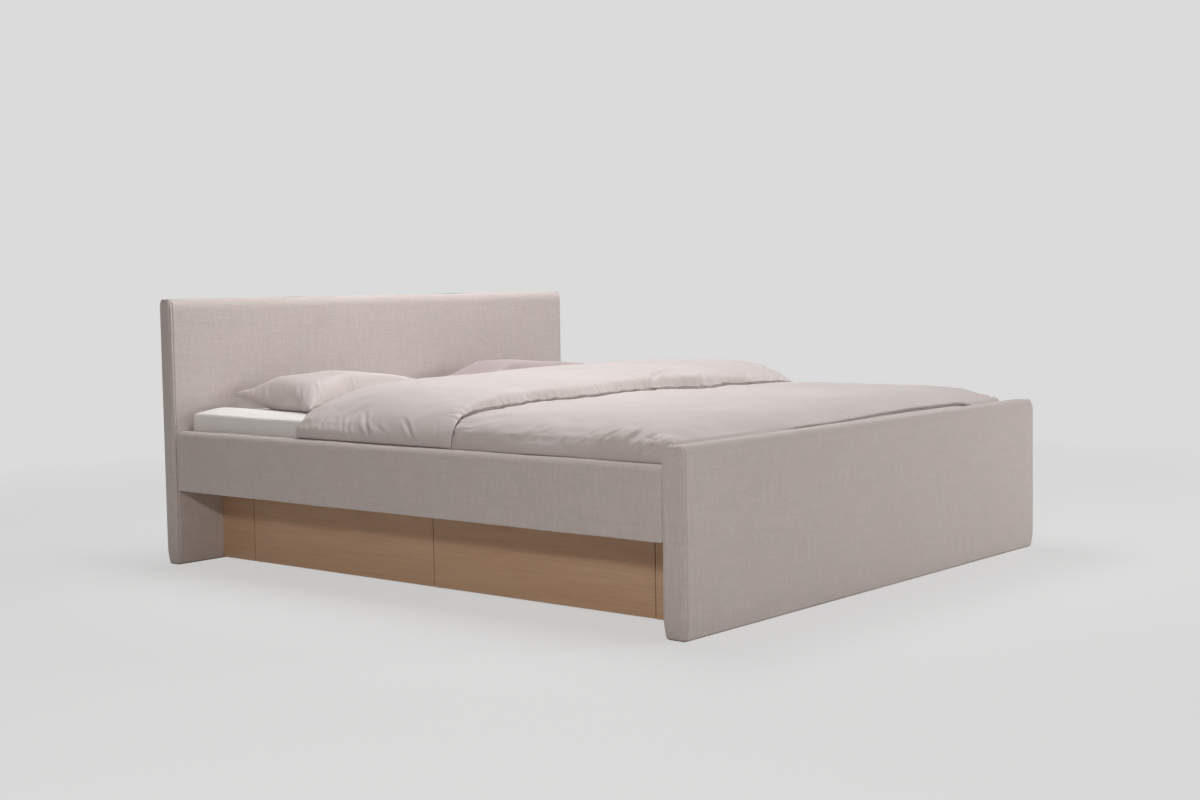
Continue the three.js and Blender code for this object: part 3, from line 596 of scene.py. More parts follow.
def arc(across, height, reach, rise, start, end, steps):
    """Places round part of an ellipse about a centre, each with its outward direction."""
    places = []
    for angle in np.linspace(start, end, steps + 1)[1:]:
        way = (math.cos(angle), math.sin(angle))
        places.append((across + reach * way[0], height + rise * way[1], *way))
    return places


def rail_section(low, high, core_top):
    """The section of a rail's cover from the lining's foot, over the crown and back up inside the
    pocket. Each place has its distance from the bed's middle, its height, its outward direction,
    how far it rounds at the ends, and 1 on the padded face."""
    inner, outer = sorted((abs(low.x), abs(high.x)))
    pocket_top = core_top + CORE_ROOM
    lining_bottom = low.z + RAIL_LINING_SHORT
    heights = np.linspace(lining_bottom, high.z - PAD_EDGE, 14)
    section = [(inner, height, -1, 0, RAIL_LINING_END, 0) for height in heights]
    for place in arc(inner + PAD_EDGE, high.z - PAD_EDGE, PAD_EDGE, PAD_EDGE, math.pi, math.pi / 2, 8):
        section.append((*place, RAIL_LINING_END + (1 - RAIL_LINING_END) * place[3], 0))
    for across in np.linspace(inner + PAD_EDGE, outer - RAIL_ROUND, 6)[1:]:
        section.append((across, high.z, 0, 1, 1, 0))
    crown = (outer - RAIL_ROUND, high.z - RAIL_ROUND_HEIGHT)
    section += [(*place, 1, 0) for place in arc(*crown, RAIL_ROUND, RAIL_ROUND_HEIGHT, math.pi / 2, 0, 14)]
    section += [(outer, height, 1, 0, 1, 1) for height in np.linspace(crown[1], low.z + RAIL_FOOT, 18)[1:]]
    foot = (outer - RAIL_FOOT, low.z + RAIL_FOOT)
    section += [(*place, 1, 0) for place in arc(*foot, RAIL_FOOT, RAIL_FOOT, 0, -math.pi / 2, 5)]
    pad_inner = outer - RAIL_PAD + CORE_ROOM
    lining_outer = inner + RAIL_LINING - CORE_ROOM
    half_way = (low.z + pocket_top) / 2
    pocket = [(pad_inner, height) for height in (low.z, half_way, pocket_top)]
    pocket += [(lining_outer, height) for height in (pocket_top, half_way, lining_bottom)]
    return np.array(section + [(*place, 0, 0, 0, 0) for place in pocket], float)


def upholster_rail(rail, look, seed):
    """A padded cover over a side rail: pad outside, thin lining inside, open below."""
    low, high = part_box(rail + "_cover")
    high.z -= RAIL_SETTLE
    side = 1 if low.x > 0 else -1
    section = rail_section(low, high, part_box(rail + "_core")[1].z)
    rows = []
    for along in low.y + graded(high.y - low.y, 0.0008, 0.014):
        from_end = min(along - low.y, high.y - along)
        depth = max(0.0, RAIL_END - from_end)
        rounding = RAIL_END - math.sqrt(RAIL_END ** 2 - depth ** 2)
        place = section[:, :2] - section[:, 2:4] * (rounding * section[:, 4])[:, None]
        flat = np.column_stack([side * place[:, 0], np.full(len(place), along), place[:, 1]])
        middle_share = (section[:, 1] - low.z) / (high.z - low.z) * 2 - 1
        swell = PAD_CROWN * (1 - middle_share ** 2) * section[:, 5]
        rumple = PAD_RUMPLE * ripples(flat, PAD_RUMPLE_LENGTH, seed) * (section[:, 4] >= 1)
        way = np.column_stack([side * section[:, 2], np.zeros(len(section)), section[:, 3]])
        rows.append(flat + way * ((swell + rumple) * smooth(from_end, 0.0, 0.05))[:, None])
    columns = len(section)
    faces = [list(face) for face in sheet_faces(len(rows), columns, True)]
    faces += [[line * columns + index for index in range(columns)] for line in (0, len(rows) - 1)]
    make_piece(rail + "_upholstery", np.stack(rows), faces, look, rail + "_cover")


# Fitted sheet
def lay_fitted_sheet(look):
    """The sheet drawn over the mattress, with shallow dimples where it is bare."""
    low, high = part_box("fitted_sheet")
    middle = ((low + high) / 2).xy
    half_x, half_y = (high.x - low.x) / 2 + SHEET_PROUD, (high.y - low.y) / 2 + SHEET_PROUD
    ring, ways, _ = outline(half_x, half_y, SHEET_CORNER, 12)
    skin = [(height, 0.0, 0.0) for height in np.linspace(low.z, high.z - SHEET_EDGE, 20)]
    for angle in np.linspace(0, math.pi / 2, 11)[1:]:
        height = high.z - SHEET_EDGE * (1 - math.sin(angle))
        skin.append((height, SHEET_EDGE * (1 - math.cos(angle)), angle))
    for inset in SHEET_EDGE + graded(half_x - SHEET_EDGE, 0.006, 0.03)[1:]:
        skin.append((high.z, inset, math.pi / 2))
    rows = []
    for height, inset, angle in skin:
        place, way = skin_row(ring, ways, (half_x, half_y, SHEET_CORNER), middle, height, inset, angle)
        on_side = math.cos(angle)
        off_middle = np.abs(place[:, :2] - middle)
        near_corner = bell(off_middle[:, 0], half_x, 0.16) * bell(off_middle[:, 1], half_y, 0.16)
        dimples = SHEET_DIMPLE * ripples(place, 0.07, 31, (1, 1, 4)) * (1 + 1.2 * near_corner)
        swell = SHEET_SWELL * ripples(place, 0.35, 32) * on_side
        bare = smooth(place[:, 1], *SHEET_BARE)
        relief = np.clip(on_side * dimples + swell, *SHEET_RELIEF) * (0.2 + 0.8 * bare)
        relief -= SHEET_DIP * (1 - on_side)
        bare_corner = bell(place[:, 0], *SHEET_BULGE_X) * smooth(place[:, 1], *SHEET_BULGE_Y)
        place[:, 2] += SHEET_BULGE * bare_corner * smooth(angle, 0.2, 1.2)
        rows.append(place + way * relief[:, None])
    faces = sheet_faces(len(rows), len(ring), True)
    piece = make_piece("percale_sheet", np.stack(rows), faces, look, "fitted_sheet")
    thicken = piece.modifiers.new("cloth thickness", "SOLIDIFY")
    thicken.thickness = SHEET_THICK
    thicken.offset = -1


# Creases
def stroke(flat, start, end, width, depth, bow):
    """A sharp crease of cloth from start to end: a valley between two low ridges."""
    along = np.subtract(end, start)
    length = np.linalg.norm(along)
    along = along / length
    rel = flat - np.asarray(start)
    t = (rel @ along) / length
    across = rel[..., 0] * -along[1] + rel[..., 1] * along[0]
    across = across + bow * length * 4 * (t - t * t)
    envelope = np.sin(np.clip(t, 0, 1) * math.pi) ** 0.7
    ridges = 0.55 * (bell(across, 1.7 * width, width) + bell(across, -1.7 * width, width))
    return depth * envelope * (ridges - bell(across, 0, width))


def creases(flat, table):
    """Relief of a table of creases, each with both its ends, half width, depth and bow."""
    return sum(stroke(flat, row[:2], row[2:4], *row[4:]) for row in table)


# Pillows
# Pleats of the left pillow that run up from its left seam, as X and Y of both ends, half width,
# depth and bow
LEFT_PLEATS = (
    (-0.742, 0.6, -0.645, 0.675, 0.006, 0.003, 0.06),
    (-0.742, 0.64, -0.67, 0.72, 0.0065, 0.003, -0.05),
    (-0.742, 0.69, -0.665, 0.768, 0.007, 0.003, 0.05),
    (-0.742, 0.765, -0.68, 0.832, 0.006, 0.0026, -0.04),
    (-0.742, 0.858, -0.68, 0.905, 0.0065, 0.0045, 0.05),
    (-0.742, 0.915, -0.7, 0.95, 0.005, 0.0035, 0.0),
    (-0.735, 0.62, -0.69, 0.69, 0.0045, 0.0022, 0.08),
    (-0.705, 0.598, -0.625, 0.67, 0.005, 0.0022, -0.06),
)


def pillow_blank():
    """Two flat layers sewn together round their edge, as points and faces."""
    columns = round(PILLOW_FLAT[0] / PILLOW_CELL)
    rows = round(PILLOW_FLAT[1] / PILLOW_CELL)
    u, v = np.meshgrid(np.linspace(-1, 1, columns + 1), np.linspace(-1, 1, rows + 1))
    dome = (1 - u ** 4) * (1 - v ** 4) * PILLOW_DOME
    # The edge bows in a little between the corners
    x = u * PILLOW_FLAT[0] / 2 * (1 - PILLOW_BOW[0] * (1 - v ** 2))
    y = v * PILLOW_FLAT[1] / 2 * (1 - PILLOW_BOW[1] * (1 - u ** 2))
    layers = [np.stack([x, y, dome], -1), np.stack([x, y, -dome], -1)]
    faces = sheet_faces(rows + 1, columns + 1)
    flipped = faces[:, ::-1] + (rows + 1) * (columns + 1)
    return np.concatenate([layer.reshape(-1, 3) for layer in layers]), np.concatenate([faces, flipped])


def welded(points, faces):
    """The same mesh with points that lie together made one."""
    _, first, place = np.unique(np.round(points, 6), axis=0, return_index=True, return_inverse=True)
    return points[first], place.reshape(-1)[faces]


def settled(points, faces, frames, groups, **settings):
    """How far each point of a cloth moves while it settles over some frames, without weight.
    groups holds the weights of its vertex groups."""
    mesh = bpy.data.meshes.new("cloth work")
    mesh.from_pydata(points.tolist(), [], faces.tolist())
    work = bpy.data.objects.new("cloth work", mesh)
    bpy.context.collection.objects.link(work)
    for name, weights in groups.items():
        group = work.vertex_groups.new(name=name)
        for index, weight in enumerate(weights.ravel()):
            group.add([index], float(weight), "REPLACE")
    modifier = work.modifiers.new("cloth", "CLOTH")
    cloth = modifier.settings
    cloth.use_pressure = True
    cloth.effector_weights.gravity = 0
    for name, value in settings.items():
        setattr(cloth, name, value)
    modifier.point_cache.frame_start = 1
    modifier.point_cache.frame_end = frames
    for number in range(1, frames + 1):
        bpy.context.scene.frame_set(number)
    cooked = work.evaluated_get(bpy.context.evaluated_depsgraph_get())
    moved = vertex_values(cooked.data, "co")
    bpy.data.objects.remove(work)
    bpy.context.scene.frame_set(1)
    return moved - points


def capped(shift, cap):
    """The shifts with none longer than cap."""
    length = np.maximum(np.linalg.norm(shift, axis=-1, keepdims=True), 1e-9)
    return shift * np.minimum(1, cap / length)


def pleats(points, seed, count):
    """Pleats on a pillow's upper side that run in from its seam, closest at its corners."""
    random = np.random.default_rng(seed)
    half_x, half_y = np.abs(points[:, 0]).max(), np.abs(points[:, 1]).max()
    relief = np.zeros(len(points))
    for _ in range(count):
        on_side = random.random() < 0.62
        share = np.sign(random.uniform(-1, 1)) * random.random() ** 0.55
        edge = random.choice([-1, 1])
        if on_side:
            start = np.array([edge * half_x, share * half_y * 0.93])
            way = np.array([-edge, -0.45 * share])
        else:
            start = np.array([share * half_x * 0.95, edge * half_y])
            way = np.array([-0.45 * share, -edge])
        end = start + way * random.uniform(0.07, 0.17)
        start = start - way * 0.02
        limits = ((0.0045, 0.0085), (0.0015, 0.0045), (-0.1, 0.1))
        width, depth, bow = (random.uniform(low, high) for low, high in limits)
        relief += stroke(points[:, :2], start, end, width, depth, bow)
    return relief


def relaxed(points, faces, rounds):
    """Points of a pillow with its dents evened out, away from its seam."""
    share = smooth(np.abs(points[:, 2]) / np.abs(points[:, 2]).max(), 0.1, 0.4)[:, None]
    corners = np.asarray(faces)
    for _ in range(rounds):
        total, count = np.zeros_like(points), np.zeros((len(points), 1))
        for step in (1, 3):
            np.add.at(total, corners, points[np.roll(corners, step, axis=1)])
            np.add.at(count, corners, 1.0)
        points = points + share * 0.6 * (total / count - points)
    return points


def pillow_form(points, low, high, lean, left_lean, ear, dip):
    """The filled pillow's points brought to their box, with the crown and seam of this pillow."""
    size = points.max(0) - points.min(0)
    points = points - (points.max(0) + points.min(0)) / 2
    x = points[:, 0] / size[0] * (high.x - low.x) + (low.x + high.x) / 2
    y = points[:, 1] / size[1] * (high.y - low.y) + (low.y + high.y) / 2
    seam = low.z + PILLOW_SEAM
    share = 1 - lean * smooth(x, (low.x + high.x) / 2 - PILLOW_FALL, high.x - PILLOW_FALL)
    share *= 1 - left_lean * (1 - smooth(x, low.x + 0.04, low.x + 0.26))
    near_corner = (1 - smooth(x, low.x, low.x + 0.3)) * (1 - smooth(y, low.y + 0.1, low.y + 0.38))
    lift = (high.z - seam) * np.where(points[:, 2] > 0, share, PILLOW_UNDER_SHARE)
    height = points[:, 2] / size[2] * 2
    z = seam + np.sign(height) * np.abs(height) ** PILLOW_FLANK * lift - dip * near_corner
    # The underside lies flat, with a soft turn where it leaves the sheet
    floor = low.z + PILLOW_ROOM
    under = floor + PILLOW_TURN * np.exp(np.minimum(z - floor - PILLOW_TURN, 0) / 0.01)
    z = np.where(z < floor + PILLOW_TURN, under, z)
    tip = np.hypot(x - low.x, y - high.y)
    return np.column_stack([x, y, z]) + np.outer(ear * bell(tip, 0, PILLOW_EAR_REACH), (-1.5, 0.6, 1.0))


def lay_pillow(name, node, look, seed, lean, left_lean=0.0, ear=0.0, dip=0.0, own_pleats=()):
    """A pillow filled and laid flat. lean and left_lean say how far its crown falls towards its
    right and left ends, ear how far its far left corner stands out, and dip how far its near left
    corner sinks."""
    low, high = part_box(node)
    points, faces = pillow_blank()
    slack = ripples(points, 0.16, seed)[:, None] * [0, 0, 0.003]
    points = points + slack * (np.abs(points[:, 2:]) > 0.001)
    points, faces = welded(points, faces)
    points = points + capped(settled(points, faces, PILLOW_FRAMES, {}, **PILLOW_CLOTH), PILLOW_CAP)
    points = relaxed(points, faces, PILLOW_ROUNDS)
    points = pillow_form(points, low, high, lean, left_lean, ear, dip)
    piece = make_piece(name, points, faces, look, node)
    finer = piece.modifiers.new("finer", "SUBSURF")
    finer.levels = finer.render_levels = 1
    bake(piece)
    mesh = piece.data
    spots, ways = vertex_values(mesh, "co"), vertex_values(mesh, "normal")
    middle = (spots.max(0) + spots.min(0)) / 2
    relief = pleats(spots - middle, seed, PILLOW_PLEATS) + creases(spots[:, :2], own_pleats)
    relief *= smooth(spots[:, 2] - low.z - PILLOW_SEAM, -0.012, 0.004)
    spots += ways * relief[:, None]
    mesh.vertices.foreach_set("co", spots.ravel())
    mesh.update()


def bake(piece):
    """Makes a piece's modifiers part of its mesh."""
    cooked = piece.evaluated_get(bpy.context.evaluated_depsgraph_get())
    mesh = bpy.data.meshes.new_from_object(cooked)
    piece.modifiers.clear()
    piece.data = mesh


# Duvet: the edges and tops that it takes from the frame, to a tenth of a millimetre
SHEET_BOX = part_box("fitted_sheet")
DUVET_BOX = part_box("duvet")
REST_ROUND = 0.017
REST_PROUD = 0.0085
REST_ROOM = 0.0012
RAIL_ROOM = 0.0004
FOLD_PROUD = 0.0005
REST_SIDE = round(SHEET_BOX[1].x + REST_PROUD - REST_ROUND, 4)
REST_FOOT = round(SHEET_BOX[0].y - REST_PROUD + REST_ROUND, 4)
MATTRESS_TOP = round(SHEET_BOX[1].z + REST_ROOM, 4)
RAIL_TOP = round(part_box("left_rail_cover")[1].z - RAIL_SETTLE + RAIL_ROOM, 4)
SIDE_EDGE = round(DUVET_BOX[1].x, 4)
FOOT_EDGE = round(DUVET_BOX[0].y, 4)
FOLD_EDGE = round(DUVET_BOX[1].y, 4)
FOLD_TOP = round(DUVET_BOX[1].z + FOLD_PROUD, 4)

# Duvet: its own forms
REST_BLEND = 0.014
DUVET_EDGE = 0.0024
DUVET_FIELD = 0.83
LAYER_TOP = 0.545
LAYER_FALL = 0.049
LAYER_FALL_REACH = 0.17
LAYER_HOLLOW = 0.003
UNDER_ROWS = 39
UNDER_ROOM = 0.0003
UNDER_INSIDE = 0.004
SIDE_DRAW = 0.003
GAP_DRAW = 0.008
GAP_LIFT = 0.0035
FOOT_DRAW = 0.005
FOOT_ROLL = 0.011
FOOT_ROLL_BACK = FOOT_ROLL * 1.4
FOOT_ROWS = 7
FOLD_BRIM = 0.3
FOLD_BRIM_REACH = 0.028
FOLD_DRAW = 0.055
FOLD_DRAW_POWER = 6
FOLD_ROLL = 0.056
ROLL_ROWS = 26
LIP_ROWS = 8
LIP_DRAW = 0.012
HEM_LIP = 0.0115
HEM_UNDERCUT = 0.011
HEM_VALLEY = 0.0065
HEM_VALLEY_REACH = 0.012
HEM_SWAY = 0.0022
HEM_SWAY_REACH = 0.03

# How the cloth of the duvet settles
DUVET_CLOTH = {
    "quality": 5,
    "mass": 0.2,
    "tension_stiffness": 15,
    "compression_stiffness": 15,
    "shear_stiffness": 5,
    "bending_stiffness": 0.2,
    "air_damping": 3,
    "vertex_group_mass": "held",
    "vertex_group_shrink": "slack",
    "shrink_min": 0,
    "shrink_max": -0.08,
    "uniform_pressure_force": 0.3,
}
CLOTH_FRAMES = 16
CLOTH_CAP = 0.012
CLOTH_REST = 0.06
CLOTH_MEAN = 6

# Where the hem of the folded part runs: X and Y of places along it
HEM = (
    (-0.93, -0.23), (-0.85, -0.19), (-0.72, -0.16), (-0.66, -0.15), (-0.52, -0.1), (-0.4, -0.05),
    (-0.28, -0.065), (-0.1, -0.035), (0.05, -0.005), (0.24, -0.01), (0.38, -0.045), (0.44, -0.1),
    (0.59, -0.08), (0.66, -0.145), (0.8, -0.155), (0.93, -0.19),
)

# Creases on the left side, as Y and Z of both ends, half width, depth and bow
SIDE_CREASES = (
    (0.235, 0.545, 0.095, 0.432, 0.006, 0.007, 0.1),
    (0.262, 0.53, 0.15, 0.432, 0.0055, 0.006, -0.08),
    (0.2, 0.52, 0.07, 0.432, 0.0055, 0.004, 0.06),
    (0.3, 0.52, 0.2, 0.436, 0.005, 0.003, 0.05),
    (0.02, 0.525, -0.1, 0.432, 0.0055, 0.0055, 0.08),
    (-0.02, 0.515, -0.125, 0.434, 0.005, 0.0035, -0.06),
    (0.39, 0.54, 0.415, 0.49, 0.006, 0.0025, 0.0),
    (0.375, 0.52, 0.345, 0.462, 0.006, 0.0028, 0.1),
    (0.11, 0.5, 0.02, 0.455, 0.005, 0.002, 0.05),
    (-0.13, 0.52, -0.165, 0.455, 0.005, 0.0024, 0.1),
    (-0.88, 0.54, -0.79, 0.44, 0.008, 0.009, 0.12),
    (-0.93, 0.535, -0.84, 0.436, 0.0075, 0.009, 0.1),
    (-0.965, 0.52, -0.895, 0.434, 0.0065, 0.0075, 0.05),
    (-0.835, 0.54, -0.75, 0.45, 0.007, 0.006, -0.1),
    (-0.73, 0.535, -0.65, 0.445, 0.0065, 0.0055, 0.12),
    (-0.66, 0.51, -0.62, 0.468, 0.007, 0.0026, 0.1),
    (-0.58, 0.52, -0.5, 0.445, 0.007, 0.0038, -0.1),
    (-0.4, 0.515, -0.34, 0.49, 0.008, 0.002, 0.1),
)

# Creases seen from above, as X and Y of both ends, half width, depth and bow
TOP_CREASES = (
    (-0.1, 0.36, 0.52, 0.245, 0.013, 0.0022, 0.05),
    (-0.54, 0.045, 0.06, 0.06, 0.014, 0.0026, -0.06),
    (-0.62, 0.01, -0.04, 0.23, 0.014, 0.0022, 0.04),
    (-0.45, 0.3, 0.15, 0.38, 0.012, 0.0018, 0.03),
    (0.15, 0.08, 0.7, 0.15, 0.014, 0.002, 0.05),
    (0.205, -0.06, 0.44, 0.04, 0.012, 0.007, -0.1),
    (0.4, -0.11, 0.52, -0.03, 0.009, 0.004, 0.08),
    (0.64, -0.145, 0.73, -0.075, 0.009, 0.0045, 0.06),
    (0.78, -0.155, 0.86, -0.02, 0.01, 0.006, 0.08),
    (0.84, -0.165, 0.895, -0.06, 0.009, 0.006, -0.06),
    (0.88, -0.175, 0.915, -0.11, 0.007, 0.0045, 0.0),
    (-0.11, -1.006, -0.08, -0.95, 0.006, 0.0032, 0.05),
    (-0.075, -1.006, -0.03, -0.945, 0.006, 0.0036, 0.05),
    (-0.04, -1.006, 0.02, -0.96, 0.005, 0.0028, 0.05),
    (0.62, -1.006, 0.65, -0.955, 0.006, 0.003, 0.05),
    (0.66, -1.006, 0.71, -0.95, 0.006, 0.0034, 0.05),
    (0.87, -1.006, 0.885, -0.945, 0.007, 0.0045, 0.05),
    (0.9, -1.004, 0.915, -0.95, 0.006, 0.004, 0.05),
)


def hem_line(x):
    """Y of the hem at each x, with its corners rounded."""
    spots = np.linspace(-SIDE_EDGE, SIDE_EDGE, 400)
    line = np.interp(spots, *zip(*HEM))
    reach = np.arange(-12, 13)
    weight = np.exp(-(reach / 5.0) ** 2)
    padded = np.pad(line, 12, mode="edge")
    line = np.convolve(padded, weight / weight.sum(), mode="valid")
    return np.interp(x, spots, line)


def fold_line(x):
    """Y of the folded edge at the head end at each x."""
    return FOLD_EDGE - FOLD_DRAW * np.abs(x / SIDE_EDGE) ** FOLD_DRAW_POWER


def shoulder(x, reach, power, round_power):
    """1 over the flat of the bed, falling to 0 at its side edge over reach."""
    t = np.clip((np.abs(x) - (SIDE_EDGE - reach)) / reach, 0, 1)
    return np.clip(1 - t ** power, 0, 1) ** (1 / round_power)


def foot_lift(x):
    """1 where the foot edge lies on the mattress, and 0 where it is tucked down."""
    return (0.75 + 0.25 * smooth(x, -0.2, 0.2)) * smooth(x, -0.7, -0.25) * (1 - smooth(x, 0.56, 0.84))


def layer_height(x, y):
    """Top of the single layer."""
    from_foot = np.clip(y - FOOT_EDGE, 0, None)
    fall = (1 - np.clip(from_foot / LAYER_FALL_REACH, 0, 1)) ** 1.25
    crest = LAYER_TOP - LAYER_FALL * fall - LAYER_HOLLOW * bell(x, 0, 0.5)
    crest += 0.02 * foot_lift(x) * fall
    crest -= (0.022 - 0.018 * foot_lift(x)) * np.exp(-from_foot / 0.006)
    left = shoulder(x, 0.3, 3.2, 2.6)
    right = shoulder(x, 0.3, 6.0, 4.0)
    side = np.where(x < 0, left, right)
    return RAIL_TOP + (crest - RAIL_TOP) * side


def fold_height(x, y):
    """Top of the folded part."""
    near_fold = smooth(y, 0.1, 0.5)
    left = shoulder(x, 0.5 + 0.1 * near_fold, 2.4 - 0.4 * near_fold, 2.3 - 0.7 * near_fold)
    right = shoulder(x, 0.10, 3.6, 2.7)
    from_side = np.clip(SIDE_EDGE - np.abs(x), 0, None)
    brim = FOLD_BRIM * near_fold * np.sqrt(1 - np.clip(1 - from_side / FOLD_BRIM_REACH, 0, 1) ** 2)
    brim *= 1 - smooth(from_side, FOLD_BRIM_REACH, 3 * FOLD_BRIM_REACH)
    left = (left ** 4 + brim ** 4) ** 0.25
    side = np.where(x < 0, left, right)
    top = FOLD_TOP - 0.0105 * bell(x, -0.42, 0.2) - 0.007 * bell(x, -0.06, 0.24)
    top = top + 0.008 * bell(y, 0.12, 0.16) * smooth(x, 0.5, 0.8)
    return RAIL_TOP + (top - RAIL_TOP) * side


def rest_height(x, y):
    """Top of what the duvet lies on: the mattress with its round edge, and the rails beside it."""
    over_side = np.clip(np.abs(x) - REST_SIDE, 0, None)
    over_foot = np.clip(REST_FOOT - y, 0, None)
    over = np.hypot(over_side, over_foot)
    round_edge = MATTRESS_TOP - REST_ROUND + np.sqrt(np.clip(REST_ROUND ** 2 - over ** 2, 0, None))
    return np.where(over >= REST_ROUND, RAIL_TOP, round_edge)


def duvet_columns():
    """X of the duvet's columns, closest at its sides. Their number has to be odd."""
    field = np.linspace(-DUVET_FIELD, DUVET_FIELD, 271)
    turn = np.linspace(0, math.pi / 2, 29)[1:]
    edge = DUVET_FIELD + (SIDE_EDGE - DUVET_FIELD) * np.sin(turn)
    return np.concatenate([-edge[::-1], field, edge])


def hem_puckers(x, y, hem):
    """Small gathers that cross the hem."""
    random = np.random.default_rng(51)
    relief = np.zeros_like(x)
    place = -0.92
    while place < 0.92:
        width = random.uniform(0.0035, 0.0065)
        depth = random.uniform(0.001, 0.005)
        lean = random.uniform(-0.5, 0.3)
        reach = random.uniform(0.014, 0.045)
        beyond = y - hem
        across = x - place - lean * beyond
        envelope = np.where(beyond > 0, np.exp(-beyond / reach), np.exp(beyond / 0.012))
        relief += depth * envelope * (0.6 * bell(across, 1.6 * width, width) - bell(across, 0, width))
        place += random.uniform(0.012, 0.055)
    return relief


def fine_creases(flat, low, high, way, count, seed):
    """Scattered fine creases that begin between low and high and run about along way."""
    random = np.random.default_rng(seed)
    relief = np.zeros(flat.shape[:-1])
    for _ in range(count):
        start = random.uniform(low, high)
        turn = random.normal(0, 0.3)
        across = np.array([-way[1], way[0]])
        end = start + (np.array(way) + across * turn) * random.uniform(0.6, 1.2)
        width = random.uniform(0.004, 0.008)
        relief += stroke(flat, start, end, width, random.uniform(0.0007, 0.002), random.uniform(-0.15, 0.15))
    return relief


def duvet_relief(grid, hem, folded):
    """How far the cloth stands out of the plain form: swells, creases, gathers and puckers.
    folded is 1 on the folded part and 0 on the single layer."""
    x, y, z = grid[..., 0], grid[..., 1], grid[..., 2]
    plan = grid[..., :2]
    aside = grid[..., 1:]
    level = grid * [1, 1, 0.0]
    near_side = smooth(np.abs(x), 0.62, 0.88)
    relief = 0.0016 * ripples(level, 0.32, 41)
    relief += 0.0009 * ripples(grid, 0.085, 42) * (0.35 + near_side)
    relief += 0.0008 * folded * ripples(grid, 0.045, 44, (14, 1, 2)) * smooth(y, 0.05, 0.3)
    low_side = smooth(-x, 0.8, 0.9) * (1 - folded)
    relief += 0.0016 * low_side * ripples(grid, 0.06, 46, (3.0, 1.0, 1.0))
    relief += 0.0026 * low_side * ripples(grid, 0.05, 47, (1.0, 1.7, 0.8)) * (1 - smooth(z, 0.49, 0.53))
    relief += hem_puckers(x, y, hem)
    on_left = smooth(-x, 0.84, 0.89)
    side = creases(aside, SIDE_CREASES)
    side += fine_creases(aside, (0.0, 0.49), (0.46, 0.53), (-0.05, -0.05), 16, 61) * folded
    side += fine_creases(aside, (-0.95, 0.48), (-0.3, 0.52), (0.03, -0.035), 16, 62) * (1 - folded)
    relief += side * on_left
    relief += creases(plan, TOP_CREASES)
    relief += fine_creases(plan, (-0.2, -1.006), (0.9, -1.0), (0.015, 0.05), 18, 63) * (1 - folded)
    relief += fine_creases(plan, (0.6, -0.15), (0.9, 0.4), (0.05, 0.03), 8, 64) * folded
    return relief


def doubled(field, axis):
    """A grid with a point put between each two along one axis, on a smooth curve through them."""
    field = np.moveaxis(field, axis, 0)
    ends = np.concatenate([2 * field[:1] - field[1:2], field, 2 * field[-1:] - field[-2:-1]])
    fine = np.empty((2 * len(field) - 1, *field.shape[1:]))
    fine[::2] = field
    fine[1::2] = (9 * (ends[1:-2] + ends[2:-1]) - ends[:-3] - ends[3:]) / 16
    return np.moveaxis(fine, 0, axis)


def mean_over(grid, reach):
    """The running mean of a grid of vectors, over reach places to each side both ways."""
    weight = np.ones(2 * reach + 1) / (2 * reach + 1)
    for axis in (0, 1):
        room = [(0, 0)] * 3
        room[axis] = (reach, reach)
        grid = np.apply_along_axis(np.convolve, axis, np.pad(grid, room, mode="edge"), weight, "valid")
    return grid


def zipped(first, second, along):
    """Triangles between two lines of points, taken in step along their run."""
    faces = []
    i, j = 0, 0
    while i < len(first) - 1 or j < len(second) - 1:
        ahead = j == len(second) - 1
        if ahead or (i < len(first) - 1 and along[first[i + 1]] <= along[second[j + 1]]):
            faces.append((first[i], first[i + 1], second[j]))
            i += 1
        else:
            faces.append((first[i], second[j + 1], second[j]))
            j += 1
    return faces


def gathered(grid, held, looseness):
    """The grid after its cloth has settled: held at the seams, and slack where looseness says."""
    coarse = grid[::2, ::2]
    groups = {"held": held[::2, ::2], "slack": looseness[::2, ::2]}
    faces = sheet_faces(*coarse.shape[:2])
    shift = settled(coarse.reshape(-1, 3), faces, CLOTH_FRAMES, groups, **DUVET_CLOTH)
    shift = shift.reshape(coarse.shape)
    shift = capped(shift - mean_over(shift, CLOTH_MEAN), CLOTH_CAP)
    return grid + doubled(doubled(shift, 0), 1)


def edge_gaps(y):
    """Where the layer's left edge lifts off the rail."""
    return smooth(-y, 0.21, 0.27) * (1 - smooth(-y, 0.43, 0.52)) + smooth(-y, 0.68, 0.78)


def single_layer(x, hem, sway, near_edge):
    """Rows of the single layer, from the foot to the crease under the hem."""
    rows = []
    for share in graded(1.0, 0.0022, 0.0075):
        y = FOOT_EDGE + (hem - FOOT_EDGE) * share
        from_hem = np.clip(hem - y, 0, None)
        dip = HEM_VALLEY * np.exp(-from_hem / HEM_VALLEY_REACH) - sway * np.exp(-from_hem / HEM_SWAY_REACH)
        height = layer_height(x, y) - dip * (1 - near_edge)
        height += 0.001 * bell(from_hem, 0.05, 0.03) * (1 - near_edge)
        gap = edge_gaps(y) * (x < 0)
        draw = SIDE_DRAW + 0.007 * np.exp(-from_hem / 0.04) + GAP_DRAW * gap
        foot_draw = FOOT_DRAW * smooth(x, -0.35, -0.1) * bell(y, FOOT_EDGE, 0.012)
        place = [x - np.sign(x) * draw * near_edge, y + foot_draw, height + GAP_LIFT * gap * near_edge]
        rows.append(np.stack(place, -1))
    return np.stack(rows)


